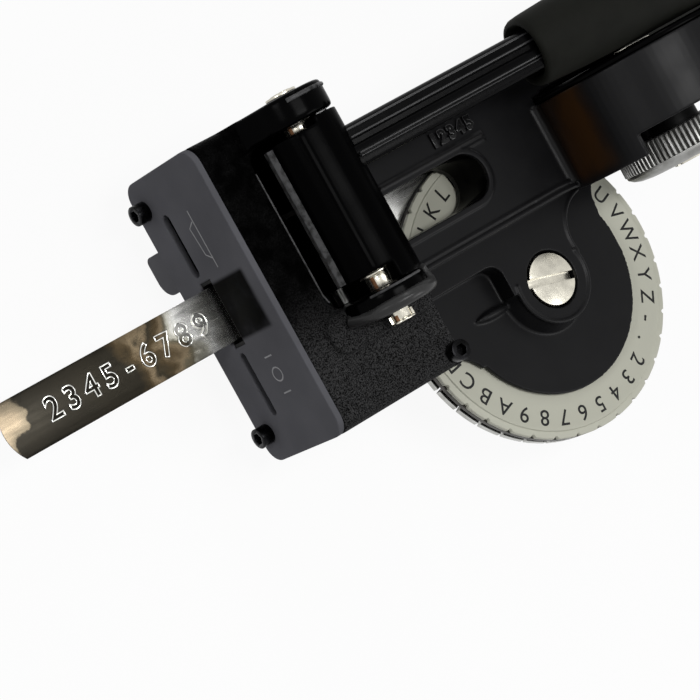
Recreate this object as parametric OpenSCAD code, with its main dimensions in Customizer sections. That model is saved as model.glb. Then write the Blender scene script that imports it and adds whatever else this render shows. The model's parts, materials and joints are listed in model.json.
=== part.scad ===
// Hand-held label maker that embosses metal tape.
// X runs from the head (negative) to the handles, Y across the tool, Z up.
// The origin is on the resting plane, below the axis of the character dial.

/* [Dial] */
// Radius of the character dial
dial_r = 35; // [33:0.5:38]
// Height of the lettered face above the resting plane
dial_z = 27; // [26:0.5:34]
// Number of characters
char_count = 36; // [24:1:40]
// Thickness of the lettered ring
dial_t = 1.8; // [1.4:0.1:2.4]
// Thickness of the upper die disc
upper_die_t = 1.1; // [1:0.1:1.6]
// Thickness of the lower die disc
lower_die_t = 1.6; // [1:0.1:1.8]
// Gap between the die discs, where the tape runs
disc_gap = 1.2; // [1:0.1:1.6]
// Radius of the hub that joins the discs
hub_r = 10; // [9:0.5:12]
// Radius of the sleeve that the hub turns on
sleeve_r = 6; // [5.5:0.25:7]
// Radius of the thread of the axle screw
axle_r = 4; // [3:0.25:4.5]
// Radius of the slotted head of the axle screw
axle_head_r = 6; // [5.5:0.25:7]

/* [Tape] */
// Width of the tape
tape_w = 12.7; // [9:0.1:13]
// Thickness of the tape
tape_t = 0.2; // [0.1:0.05:0.3]
// Distance from the dial axis to the middle of the tape
tape_y = 29; // [28:0.25:30]
// Length of tape standing out of the head
tape_out = 57.8; // [20:1:120]
// Radius of the full coil of tape
coil_r = 22.4; // [18:0.1:22.8]

/* [Head] */
// Distance from the dial axis to the front of the head
head_reach = 74; // [70:0.5:82]
// Length of the head
head_len = 35.5; // [34:0.5:40]
// Width of the head
head_w = 67.6; // [64:0.5:74]
// Depth of the head below the lettered face
head_drop = 13.5; // [12:0.5:16]
// Height of the head above the lettered face
head_rise = 18.2; // [17:0.2:20]
// Thickness of the front plate
plate_t = 1.6; // [1.2:0.1:2]
// Height of the pivot pin above the lettered face
pin_rise = 24; // [22:0.5:28]
// Distance of the pivot pin behind the front of the head
pin_back = 22.8; // [21:0.2:25]
// Radius of the pivot pin
pin_r = 2.5; // [2:0.25:3.5]
// Outer radius of the pivot ears
ear_r = 8.7; // [8:0.1:10]
// Thickness of each pivot ear
ear_t = 6.5; // [4:0.5:8]
// Clear width between the pivot ears
ear_gap = 38.4; // [36:0.2:42]
// Length of the service slots in the front plate
slot_w = 15; // [12:0.5:16]
// Distance of each service slot from the middle of the tape
slot_offset = 16.8; // [16:0.2:19]
// Radius of the heads of the small cap screws
cap_r = 2.3; // [2:0.1:2.8]
// Height of the heads of the small cap screws
cap_h = 3; // [2:0.25:4]

/* [Body] */
// Height of the deck above the lettered face
deck_rise = 14; // [13:0.5:16]
// Width of the body
body_w = 35.3; // [34:0.5:40]
// Wall thickness of the castings
wall = 3; // [2.5:0.25:4]
// Radius of the cover over the dial
cover_r = 25.2; // [24:0.2:27]
// Height of the cover's top above the lettered face
cover_rise = 1.6; // [1.4:0.1:2.4]
// Height of the raised land above the lettered face
land_rise = 6.8; // [6:0.2:9]
// Width of the viewing window in the deck
window_w = 11; // [8:0.5:12]
// Height of the base casting
base_h = 16; // [15:0.5:18]

/* [Magazine] */
// Outer radius of the drum
drum_r = 25.5; // [25.5:0.25:27]
// Wall thickness of the drum
drum_wall = 2; // [1.5:0.1:2.4]
// Distance of the drum's axis behind the dial axis
drum_x = 37; // [36:0.5:44]
// Height of the drum's axis above the lettered face
drum_rise = 25; // [25:0.5:30]
// Radius of the knurled feed wheel
knurl_r = 15.5; // [12:0.5:18]
// Width of the knurled feed wheel
knurl_w = 7.7; // [6:0.1:8]
// Radius of the spindle of the reel
spindle_r = 3; // [2:0.25:4]
// Number of ridges on the knurled feed wheel
knurl_count = 80; // [40:1:120]

/* [Lever] */
// Angle of the open lever above the deck
lever_pitch = 12; // [11:0.5:16]
// Turn of the lever from open to closed
lever_travel = 11; // [8:0.5:11]
// Radius of the lever's barrel round the pin
barrel_r = 8.8; // [8:0.1:9]
// Width of the lever's arm
arm_w = 9.5; // [8:0.1:11]
// Depth of the lever's arm
arm_h = 12; // [9:0.5:13]
// Distance of the lever's arm from the middle of the tape
arm_offset = 17.6; // [17.4:0.2:19]
// Distance from the pin to the end of the grip
lever_len = 195; // [160:1:230]
// Distance from the pin to the mouth of the grip
grip_start = 54; // [50:1:60]
// Width of the rubber grips
grip_w = 18; // [16:0.2:18.2]
// Depth of the rubber grips
grip_h = 23; // [18:1:24]

/* [Hidden] */
$fn = 96;

run_fit = 0.05;      // radial clearance of a shaft in its hole
slide_fit = 0.3;     // clearance of a sliding piece
part_gap = 0.4;      // clearance between moving pieces that don't touch
ram_slot = 6;         // half length of the wedge slot in the ram's head
ram_saw = 5;          // half width of the cut that makes the wedge slot
axle_head_t = 3.4;    // thickness of the axle screw's head
guide_rise = 4.4;     // height of the cut through the exit guide
guide_gap = 6;        // gap from the cutter yoke to the tape guide
bar_eye = 1.6;        // wall of the press bar round the lever's crank
yoke_half = 6;        // half width of the yoke's fork
die_rise = 1.4;       // from the tape's middle to the fixed cutting edges
die_h = 3;            // height of the fixed cutting edges
die_t = 2.6;          // thickness of the fixed cutting edges
tape_end_r = 4;       // corner radius of the tape's end
lead_r = 12;          // bend of the tape's lead
tab_r = 4;            // corner radius of the mode selector's tab
bush_flange = 0.9;    // how far a bush's flange stands out
screw_seat = 0.3;     // how deep a base screw's head sits
eps = 0.01;

// heights
dial_under = dial_z - dial_t;
upper_disc_z = dial_under - upper_die_t;
tape_z = upper_disc_z - disc_gap/2;
lower_disc_top = upper_disc_z - disc_gap;
lower_disc_z = lower_disc_top - lower_die_t;
stud_h = 1.4;
stud_r = 2;
stud_z = lower_disc_z - stud_h;
cover_under = dial_z + part_gap;
cover_z = dial_z + cover_rise;
land_z = dial_z + land_rise;
deck_z = dial_z + deck_rise;
head_z0 = dial_z - head_drop;
head_z1 = dial_z + head_rise;
pin_z = dial_z + pin_rise;
drum_z = dial_z + drum_rise;

// places along X
front_x = -head_reach;
block_x0 = front_x + plate_t;
block_x1 = front_x + head_len;
pin_x = front_x + pin_back;
body_x0 = block_x1;
body_x1 = drum_x - 17;
base_x0 = body_x0 - 21;
base_x1 = drum_x + 16;
base_mid_x = drum_x - 5;

// places along Y
head_y0 = tape_y - head_w/2;
head_y1 = tape_y + head_w/2;
ear_y1 = head_y1 - ear_t;
ear_y0 = ear_y1 - ear_gap;
arm_y = tape_y + arm_offset;
body_y1 = arm_y + 4.4;
body_y0 = body_y1 - body_w;
base_y0 = -2;
drum_y0 = body_y0 - 1.25;
tape_y0 = tape_y - tape_w/2;
tape_y1 = tape_y + tape_w/2;
drum_cover_t = 1.6;
nut_t = 0.4;
drum_y1 = tape_y1 + 0.15 + drum_cover_t;
notch_y = drum_y0 + 5;
fillet_r = 2;
fillet_x = drum_x - sqrt(pow(drum_r + fillet_r, 2) - pow(drum_rise - deck_rise - fillet_r, 2));

// lever and its drives
bar_z0 = deck_z - wall - 6.6;
bar_z1 = deck_z - wall - 0.6;
bar_y0 = tape_y + window_w/2 + 1.7;
bar_y1 = bar_y0 + 5;
crank_r = 2.4;
crank_len = pin_z - bar_z1 + crank_r + 0.5;
bar_stroke = crank_len*lever_travel*PI/180;
press_stroke = 0.7;
wedge_slope = press_stroke/bar_stroke;
ram_r = 3;
ram_z0 = dial_z + press_stroke + 0.2;
ram_z1 = bar_z0 + 0.6;
wedge_x0 = bar_stroke - ram_r - 0.6;
wedge_x1 = ram_r + bar_stroke + 1.3;
post_z1 = ram_z1 - wedge_slope*wedge_x1 - 0.2;
toe_r = 1.5;
toe_dx = -9;
toe_dz = -13;
toe_lift = 10.2*lever_travel*PI/180;
lip_x = front_x + 12;
lip_t = 1.2;
yoke_x1 = front_x + 9.7;
yoke_t = 2.4;
yoke_x0 = yoke_x1 - yoke_t;
yoke_z0 = head_z0 + 2.4;
yoke_bar_z = tape_z + 6.5;
fork_t = 2;
fork_x1 = pin_x + toe_dx - 0.1;
fork_z = [pin_z + toe_dz - toe_r - 0.6 - fork_t, pin_z + toe_dz + toe_r + 0.15];
yoke_z1 = fork_z[1] + fork_t;
spring_x = -20;
spring_y = arm_y - 0.8;
spring_z = deck_z - 11;
spring_r = 2.3;

// front plate openings
exit_w = tape_w + 3;
exit_h = 4.8;
exit_z = tape_z - 0.9;
trim_y = tape_y + slot_offset;
punch_y = tape_y - slot_offset;
trim_h = 4.6;
punch_h = 3.2;
screw_y = head_w/2 - 6.6;
screw_z = head_z0 + 4.2;
block_wall = 3;
cavity_x0 = front_x + 8;

// rollers that feed the tape
window_z = tape_z - toe_lift - 1.2;
roller_r = 3.4;
roller_x = block_x1 - 8.5;
roller_axle_r = 1.5;
roller_w = 9;
roller_gap = 0.15;
cheek_y = tape_y1 + 0.6;
cheek_t = 0.25 + bar_y0 - cheek_y - 0.6;

// screw at the head's rear corner and the lug below it
pad_x = block_x1 - 1.7;
pad_y = head_y0 + 2.8;
pad_screw_l = 8;
lug_r = 5;
lug_z1 = dial_z + 8;

// small parts
cap_shank_r = cap_r*0.55;
front_screw_l = 6;
boss_r = 3.4;
tang_z0 = 7;
tang_z1 = base_h;
pad_t = 1.2;
window_x1 = -7;
lip_h = 0.4;
land_r = 9.8;
letter_r = dial_r - 4.6;
detent_circle = 22.4;
detent_x = detent_circle*cos(140);
detent_y = detent_circle*sin(140);
detent_r = 1.7;
ball_r = 1.5;
anvil_z = stud_z - 5;
bush_r = pin_r + 0.7;
barrel_y0 = ear_y0 + 4;
barrel_y1 = ear_y1 - 1.9;
side_gap = 0.35;
selector_w = 9.8;
selector_t = 2;
selector_y = trim_y - 3.4;
selector_travel = 4;
selector_drop = 9.4;
neck_r = 6;
reel_r = 9;
wheel_y1 = drum_y0 + 2.2;
ridge_w = knurl_w*0.7;
lead_x = drum_x - 9.5;
lead_angle = 27.5;

// handles
handle_x0 = base_x1 - 1;
handle_y = arm_y - 2;
tang_half = 4;
handle_x1 = pin_x + (lever_len - 3)*cos(lever_pitch);

// ---------- shared shapes ----------
module xz_slab(y0, y1) translate([0, y1, 0]) rotate([90, 0, 0]) linear_extrude(y1 - y0) children();
module yz_slab(x0, x1) translate([x0, 0, 0]) rotate([90, 0, 90]) linear_extrude(x1 - x0) children();
module y_rod(x, z, r, y0, y1) translate([x, y0, z]) rotate([-90, 0, 0]) cylinder(r = r, h = y1 - y0);
module block(x0, x1, y0, y1, z0, z1) translate([x0, y0, z0]) cube([x1 - x0, y1 - y0, z1 - z0]);

// rectangle from corner to corner with four round corners
module round_rect(a0, a1, b0, b1, r) {
    translate([a0 + r, b0]) square([a1 - a0 - 2*r, b1 - b0]);
    translate([a0, b0 + r]) square([a1 - a0, b1 - b0 - 2*r]);
    for (a = [a0 + r, a1 - r], b = [b0 + r, b1 - r]) translate([a, b]) circle(r);
}

// puts its children in the frame of the open lever, with X along the arm from the pin
module lever_frame() translate([pin_x, 0, pin_z]) rotate([0, -lever_pitch, 0]) children();

// round wire swept along a helix that stands on Z
module coil_spring(r, wire_r, height, turns, per_turn = 12, sides = 6) {
    rings = turns*per_turn;
    lean = atan(height/turns/(2*PI*r));
    points = [for (i = [0:rings], k = [0:sides - 1])
        let (a = 360*i/per_turn, b = 360*k/sides, u = wire_r*cos(b), w = wire_r*sin(b))
        [(r + u)*cos(a) + w*sin(lean)*sin(a), (r + u)*sin(a) - w*sin(lean)*cos(a),
         wire_r + (height - 2*wire_r)*i/rings + w*cos(lean)]];
    sides_faces = [for (i = [0:rings - 1], k = [0:sides - 1], half = [0, 1])
        let (n = (k + 1)%sides, a = i*sides, b = (i + 1)*sides)
        half == 0 ? [a + k, b + k, b + n] : [a + k, b + n, a + n]];
    start = [[for (k = [0:sides - 1]) k]];
    end = [[for (k = [sides - 1:-1:0]) rings*sides + k]];
    polyhedron(points, concat(start, sides_faces, end), convexity = 10);
}

module cap_screw(shank) difference() {
    union() {
        cylinder(r = cap_r, h = cap_h);
        translate([0, 0, -shank]) cylinder(r = cap_shank_r, h = shank + eps);
    }
    translate([0, 0, cap_h*0.45]) cylinder(r = cap_r*0.6, h = cap_h, $fn = 6);
}

module screw_hole(shank) translate([0, 0, -shank - part_gap])
    cylinder(r = cap_shank_r + run_fit, h = shank + part_gap + eps);

// places of screws, springs and the detent
module front_screw_places() for (s = [-1, 1])
    translate([front_x, tape_y + s*screw_y, screw_z]) rotate([0, -90, 0]) children();
module base_screw_places() for (x = [body_x0 + 7, body_x1 - 7])
    translate([x, body_y1 - wall - boss_r + 0.8, 0]) children();
module pad_screw_place() translate([pad_x, pad_y, head_z1]) children();
module spring_place() translate([spring_x, spring_y, spring_z]) children();
module detent_place() translate([detent_x, detent_y, 0]) children();
module ram_place() translate([0, tape_y, 0]) children();

// ---------- castings ----------
module window_outline(grow = 0) {
    r = window_w/2 + grow;
    translate([window_x1 - window_w/2, tape_y]) circle(r);
    translate([body_x0 - 1, tape_y - r]) square([window_x1 - window_w/2 - body_x0 + 1, 2*r]);
}

module land_outline() {
    translate([-11.2, 1]) square([20, body_y0]);
    translate([body_x0, 9.4]) square([-body_x0, body_y0 - 8.4]);
    difference() {
        translate([8.7, 4]) square([9.6, body_y0 - 3]);
        translate([19.3, 5]) circle(10);
    }
}

module cover_outline() {
    circle(cover_r);
    difference() {
        translate([body_x0, -9.5]) square([20, body_y0 + 10.5]);
        translate([body_x0 + 6.5, -13.2]) circle(8.6);
        translate([body_x0 - 1, -14]) square([7.5, 9.5]);
    }
    polygon([[14, 6], [24.3, 6.7], [25, 11.5], [26.3, body_y0 - 2], [26.3, body_y0 + 1], [14,
        body_y0 + 1]]);
}

module drum_skirt() difference() {
    y_rod(drum_x, drum_z, drum_r, drum_y0, notch_y + eps);
    y_rod(drum_x, drum_z, drum_r - drum_wall, drum_y0 - 1, notch_y + 1);
    xz_slab(drum_y0 - 1, notch_y + 1) translate([drum_x, drum_z])
        polygon([[0, 0], 3*drum_r*[cos(148), sin(148)], 3*drum_r*[0, 1], 3*drum_r*[1, 0],
            3*drum_r*[cos(-40), sin(-40)]]);
}

// hollow curve between the deck and the drum
module drum_fillet() xz_slab(body_y0 + 1, drum_y1 - drum_cover_t) difference() {
    translate([fillet_x, deck_z - 1]) square([drum_x - fillet_x, fillet_r + 1]);
    translate([fillet_x, deck_z + fillet_r]) circle(fillet_r);
    translate([fillet_x + fillet_r*0.6, deck_z + fillet_r]) square([2*fillet_r, fillet_r]);
}

module main_frame() color("#1b1b1c") {
    difference() {
        union() {
            block(body_x0, body_x1, body_y0, body_y1, base_h, deck_z);
            block(drum_x - 8, base_x1 - 2, notch_y, drum_y1 - drum_cover_t, base_h, drum_z - 12);
            // shelf behind the deck, beside the drum
            block(body_x1 - 1, base_x1 - 2, drum_y1 - drum_cover_t - 1, body_y1 - 2, base_h, deck_z - 6);
            translate([0, 0, cover_under]) linear_extrude(cover_z - cover_under) cover_outline();
            translate([0, 0, cover_under]) linear_extrude(land_z - cover_under) land_outline();
            translate([0, 0, cover_under]) cylinder(r1 = land_r + 1.9, r2 = land_r,
                h = land_z - cover_under);
            y_rod(drum_x, drum_z, drum_r, notch_y, drum_y1 - drum_cover_t);
            drum_skirt();
            drum_fillet();
            // raised lip of the window and rib beside it
            translate([0, 0, deck_z - eps]) intersection() {
                linear_extrude(lip_h) window_outline(1.3);
                block(body_x0, body_x1, body_y0, body_y1, -1, 10);
            }
            block(body_x0 + 4.5, -3.2, bar_y0 - 0.6, bar_y0 + 0.4, deck_z - eps, deck_z + lip_h);
        }
        // room for the dial and its dies
        translate([0, 0, base_h - 1]) cylinder(r = dial_r + 1, h = cover_under - base_h + 1);
        // hollow of the body
        block(body_x0 + wall, window_x1, bar_y0 - slide_fit, body_y1 - wall, base_h - 1, deck_z - wall);
        block(window_x1 + wall, body_x1 - wall, body_y0 + wall, body_y1 - wall, base_h - 1, deck_z - wall);
        block(window_x1 - 1, window_x1 + wall + 1, bar_y0 - slide_fit, body_y1 - wall, base_h - 1,
            deck_z - wall);
        // viewing window
        translate([0, 0, base_h - 1]) linear_extrude(deck_z) window_outline();
        // passages of the press bar and the tape
        block(body_x0 - 1, 0, bar_y0 - slide_fit, bar_y1 + slide_fit, bar_z0 - slide_fit,
            bar_z1 + slide_fit);
        block(body_x0 - 1, drum_x, tape_y0 - 1, tape_y1 + 0.15, tape_z - 2.5, tape_z + 2.2);
        // magazine
        y_rod(drum_x, drum_z, drum_r - drum_wall, notch_y + 1.8, drum_y1 + 1);
        xz_slab(tape_y0 - 1, tape_y1 + 0.15) polygon([[drum_x - 13, tape_z - 2.5], [drum_x + 9,
            tape_z - 2.5],
            [drum_x + 13, drum_z - drum_r + 5], [drum_x + 13, drum_z - 16], [drum_x - 7, drum_z - 16]]);
        y_rod(drum_x, drum_z, neck_r + run_fit, notch_y - 1, notch_y + 3);
        y_rod(drum_x, drum_z, drum_r + slide_fit, drum_y1 - drum_cover_t, drum_y1 + nut_t);
        // axle, detent, ram and base screws
        translate([0, 0, land_z - 3.6]) cylinder(r = axle_head_r + 0.65, h = 4);
        cylinder(r = axle_r + run_fit, h = land_z);
        detent_place() cylinder(r = detent_r + run_fit, h = land_z - 1.3);
        spring_place() cylinder(r = spring_r + part_gap, h = deck_z);
    }
    // guide of the press ram
    difference() {
        union() {
            ram_place() translate([0, 0, cover_under]) cylinder(r = ram_r + 1.9, h = post_z1 - cover_under);
            block(window_x1 + wall - eps, body_x1 - wall + eps, tape_y - 2, tape_y + 2, cover_under + 0.4,
                post_z1);
        }
        ram_place() cylinder(r = ram_r + run_fit, h = deck_z);
    }
    // bosses that the base screws enter
    base_screw_places() difference() {
        translate([0, 0, base_h]) cylinder(r = boss_r, h = 9);
        cylinder(r = cap_shank_r + run_fit, h = base_h + 8.5);
    }
    // cup of the return spring
    spring_place() difference() {
        translate([0, 0, -1.5]) cylinder(r = spring_r + 1.6, h = deck_z - spring_z + 1);
        cylinder(r = spring_r + part_gap, h = deck_z);
    }
}

// outline of the base, drawn in by a margin
module base_outline(inset) {
    round_rect(base_x0 + inset, base_mid_x - inset, base_y0 + inset, body_y1 - inset, 5 - inset/2);
    round_rect(base_mid_x - 15, base_x1 - inset, drum_y0 + 1 + inset, body_y1 - inset, 5 - inset/2);
    circle(13 - inset);
}

module base_casting() color("#1b1b1c") difference() {
    union() {
        difference() {
            translate([0, 0, pad_t]) linear_extrude(base_h - pad_t) base_outline(0);
            translate([0, 0, pad_t + wall]) linear_extrude(base_h) base_outline(wall);
        }
        // tang of the fixed handle
        block(base_x1 - wall - 1, handle_x1 - 10, handle_y - tang_half, handle_y + tang_half, tang_z0,
            tang_z1);
        block(base_x1 - wall, handle_x0 + 2, handle_y - arm_w/2, body_y1, pad_t, base_h);
        // posts of the dial's axle, the anvil and the base screws
        translate([0, 0, pad_t]) cylinder(r = 8, h = stud_z - part_gap - pad_t);
        ram_place() translate([0, 0, pad_t]) cylinder(r = 8, h = anvil_z - pad_t);
        base_screw_places() translate([0, 0, pad_t]) cylinder(r = boss_r, h = base_h - pad_t);
    }
    cylinder(r = axle_r + run_fit, h = dial_z);
    base_screw_places() {
        cylinder(r = cap_shank_r + run_fit, h = base_h + 1);
        cylinder(r = cap_r + 0.2, h = pad_t + cap_h + screw_seat);
    }
    // room for the head
    block(block_x0 - 1, block_x1, head_y0 - 1, head_y1, head_z0, base_h + 1);
}

module base_pad() color("#2a2a2b") linear_extrude(pad_t) base_outline(1.5);

module head_block() color("#202021") {
    difference() {
        union() {
            yz_slab(block_x0, block_x1) round_rect(head_y0, head_y1, head_z0, head_z1, 3);
            // seat of the rear corner's screw and the lug below it
            pad_screw_place() translate([0, 0, -3]) cylinder(r = cap_r + 0.5, h = 3);
            translate([block_x1 - 0.4, head_y0 + lug_r + 0.2, cover_z + part_gap])
                cylinder(r = lug_r, h = lug_z1 - cover_z - part_gap);
            // foot of the inner ear
            translate([0, 0, head_z1 - 1]) linear_extrude(2.2)
                round_rect(pin_x - 15, block_x1, ear_y0 - ear_t - 2.4, ear_y0, 3.5);
            for (y = [ear_y1, ear_y0 - ear_t]) xz_slab(y, y + ear_t) {
                translate([pin_x, pin_z]) circle(ear_r);
                polygon([[pin_x - 13.6, head_z1 - 3], [block_x1, head_z1 - 3],
                    [pin_x + ear_r*cos(10), pin_z + ear_r*sin(10)],
                    [pin_x - ear_r*cos(10), pin_z + ear_r*sin(10)]]);
            }
        }
        // well of the lever
        xz_slab(ear_y0, ear_y1) polygon([[cavity_x0, head_z1 - lip_t], [cavity_x0, bar_z0 - 4],
            [block_x1 - block_wall, bar_z0 - 4], [block_x1 - block_wall, deck_z - 0.4],
            [block_x1 + 1, deck_z - 0.4], [block_x1 + 1, pin_z], [pin_x, pin_z], [pin_x, head_z1 - lip_t]]);
        translate([0, 0, head_z1 - lip_t - eps]) linear_extrude(pin_z - head_z1)
            round_rect(lip_x, block_x1 + 5, ear_y0, ear_y1, 3.8);
        // well of the rollers and passage of the tape
        block(cavity_x0, block_x1 - block_wall, tape_y - 11, ear_y1, head_z0 + 2, bar_z0);
        block(block_x0 - 1, block_x1 + 1, tape_y0 - 0.4, tape_y1 + 0.4, tape_z - 1, tape_z + 1);
        // well of the cutters and the slots that lead to it
        block(yoke_x0 - slide_fit, yoke_x1 + slide_fit, head_y0 + block_wall, head_y1 - block_wall,
            yoke_z0 - part_gap, yoke_bar_z + toe_lift + part_gap);
        block(yoke_x0 - slide_fit, yoke_x1 + slide_fit, tape_y - yoke_half - slide_fit,
            tape_y + yoke_half + slide_fit, tape_z, head_z1 - lip_t);
        for (y = [trim_y, punch_y]) block(block_x0 - 1, yoke_x0, y - slot_w/2, y + slot_w/2, tape_z - 2,
            tape_z + 2);
        cutter_die_bar();
        // passage of the press bar
        block(cavity_x0, block_x1 + 1, bar_y0 - slide_fit, bar_y1 + slide_fit, bar_z0 - slide_fit,
            bar_z1 + slide_fit);
        // pocket of the mode selector
        block(block_x0 - 1, block_x0 + selector_t + slide_fit,
            selector_y - selector_w/2 - selector_travel - 1,
            selector_y + selector_w/2 + selector_travel + 1, head_z0 - 1, head_z0 + 6.5);
        y_rod(pin_x, pin_z, pin_r + run_fit, 0, 80);
        front_screw_places() screw_hole(front_screw_l);
        pad_screw_place() screw_hole(pad_screw_l);
    }
    // cheek that carries the inner ends of the roller axles
    difference() {
        block(roller_x - 5, roller_x + 5, cheek_y, cheek_y + cheek_t, head_z0 + 2 - eps, bar_z0 - 1);
        for (s = [-1, 1]) roller_at(s) cylinder(r = roller_axle_r + run_fit, h = 60, center = true);
    }
}

module front_plate() color("#2c2c2e") difference() {
    yz_slab(front_x, block_x0) round_rect(head_y0, head_y1, head_z0, head_z1, 4);
    yz_slab(front_x - 1, block_x0 + 1) {
        round_rect(trim_y - slot_w/2, trim_y + slot_w/2, tape_z - trim_h/2, tape_z + trim_h/2,
            trim_h/2 - eps);
        round_rect(punch_y - slot_w/2, punch_y + slot_w/2, tape_z - punch_h/2 + 0.4,
            tape_z + punch_h/2 + 0.4, punch_h/2 - eps);
        translate([tape_y - exit_w/2, exit_z]) square([exit_w, exit_h]);
    }
    front_screw_places() screw_hole(front_screw_l);
}

module exit_guide() color("#101010") difference() {
    block(front_x + 0.3, block_x0, tape_y - exit_w/2, tape_y + exit_w/2, exit_z, exit_z + exit_h);
    block(front_x - 1, block_x0 + 1, tape_y - exit_w/2 + 0.8, tape_y + exit_w/2 - 0.8, exit_z + 0.3,
        exit_z + guide_rise);
}

module front_screws() color("#151515") front_screw_places() cap_screw(front_screw_l);
module pad_screw() color("#151515") pad_screw_place() cap_screw(pad_screw_l);
module base_screws() color("#151515") base_screw_places() translate([0, 0, pad_t + cap_h + screw_seat])
    mirror([0, 0, 1]) cap_screw(base_h + 3);

// ---------- dial ----------
module axle_screw() color("#b9b9b6") difference() {
    union() {
        translate([0, 0, land_z - axle_head_t]) cylinder(r = axle_head_r, h = axle_head_t);
        translate([0, 0, pad_t + wall + 2]) cylinder(r = axle_r,
            h = land_z - axle_head_t - pad_t - wall - 2 + eps);
    }
    translate([0, 0, land_z - 1.6]) rotate([0, 0, -14])
        block(-axle_head_r - 1, axle_head_r + 1, -0.95, 0.95, 0, 3);
}

module axle_sleeve() color("#9a8a5a") difference() {
    translate([0, 0, stud_z - part_gap]) cylinder(r = sleeve_r, h = cover_under - stud_z + part_gap);
    translate([0, 0, stud_z - 1]) cylinder(r = axle_r + run_fit, h = 30);
}

module letter_dial() color("#a5a596") difference() {
    translate([0, 0, dial_under]) cylinder(r = dial_r, h = dial_t, $fn = 180);
    translate([0, 0, dial_under - 1]) cylinder(r = hub_r - 1.5, h = 9);
    // scallop and detent pocket of each character
    for (i = [0:char_count - 1]) rotate([0, 0, 20 + i*360/char_count]) {
        translate([letter_r + 3.1, 0, dial_z - 0.35]) cylinder(r = 1.1, h = 1);
        translate([detent_circle, 0, dial_z - 0.5]) cylinder(r = 0.9, h = 1);
    }
}

module die_disc(z, t) difference() {
    translate([0, 0, z]) cylinder(r = dial_r, h = t, $fn = 180);
    translate([0, 0, z - 1]) cylinder(r = hub_r, h = t + 2);
    for (i = [0:char_count - 1]) rotate([0, 0, 25 + i*360/char_count])
        block(dial_r - 9, dial_r + 1, -0.35, 0.35, z - 1, z + t + 1);
}

module upper_die_disc() color("#77736a") difference() {
    translate([0, 0, upper_disc_z]) cylinder(r = dial_r, h = upper_die_t, $fn = 180);
    translate([0, 0, upper_disc_z - 1]) cylinder(r = hub_r, h = upper_die_t + 2);
}

module lower_die_disc() color("#b2b2ae") {
    die_disc(lower_disc_z, lower_die_t);
    for (i = [0:char_count - 1]) rotate([0, 0, 20 + i*360/char_count])
        translate([letter_r, 0, stud_z]) cylinder(r = stud_r, h = stud_h + eps);
}

module dial_hub() color("#8c8c88") difference() {
    union() {
        translate([0, 0, stud_z]) cylinder(r = hub_r, h = dial_under - stud_z);
        translate([0, 0, dial_under - eps]) cylinder(r = hub_r - 1.5, h = dial_t);
    }
    translate([0, 0, stud_z - 1]) cylinder(r = sleeve_r + run_fit, h = 30);
}

module detent_ball() color("#c8c8c6") detent_place() translate([0, 0, dial_z + ball_r + run_fit])
    sphere(ball_r, $fn = 48);

module detent_spring() color("#b0b0ae") detent_place() translate([0, 0, dial_z + 2*ball_r + 0.1])
    coil_spring(detent_r - 0.5, 0.22, land_z - 1.4 - dial_z - 2*ball_r, 4);

module anvil() color("#8c8c88") translate([0, tape_y, anvil_z])
    cylinder(r = 4.5, h = stud_z - part_gap - anvil_z);

// ---------- press ----------
module press_ram() color("#a9a9a6") difference() {
    ram_place() translate([0, 0, ram_z0]) cylinder(r = ram_r, h = ram_z1 + 2 - ram_z0);
    xz_slab(tape_y - ram_saw, tape_y + ram_saw) polygon([
        [-ram_slot, ram_z1 + ram_slot*wedge_slope], [ram_slot, ram_z1 - ram_slot*wedge_slope],
        [ram_slot, ram_z1 + ram_slot], [-ram_slot, ram_z1 + ram_slot]]);
}

module press_bar() color("#6d6d6b") {
    xz_slab(bar_y0, bar_y1) difference() {
        translate([pin_x - crank_r - 2*bar_eye + 0.2, bar_z0 - 2*bar_eye + 0.2])
            square([2*crank_r + 3*bar_eye - 0.1, bar_z1 - bar_z0 + 2*bar_eye - 0.2]);
        translate([pin_x - crank_r - 0.25, bar_z1 - 2*crank_r - 1]) square([2*crank_r + 0.5, 3*crank_r]);
    }
    block(pin_x + crank_r + bar_eye, wedge_x0 + 1, bar_y0, bar_y1, bar_z0, bar_z1);
    xz_slab(tape_y - ram_r - 1.5, bar_y1) polygon([[wedge_x0, wedge_z(wedge_x0)],
        [wedge_x1, wedge_z(wedge_x1)], [wedge_x1, bar_z1], [wedge_x0, bar_z1]]);
}
function wedge_z(x) = ram_z1 + 0.12 - wedge_slope*x;

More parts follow.
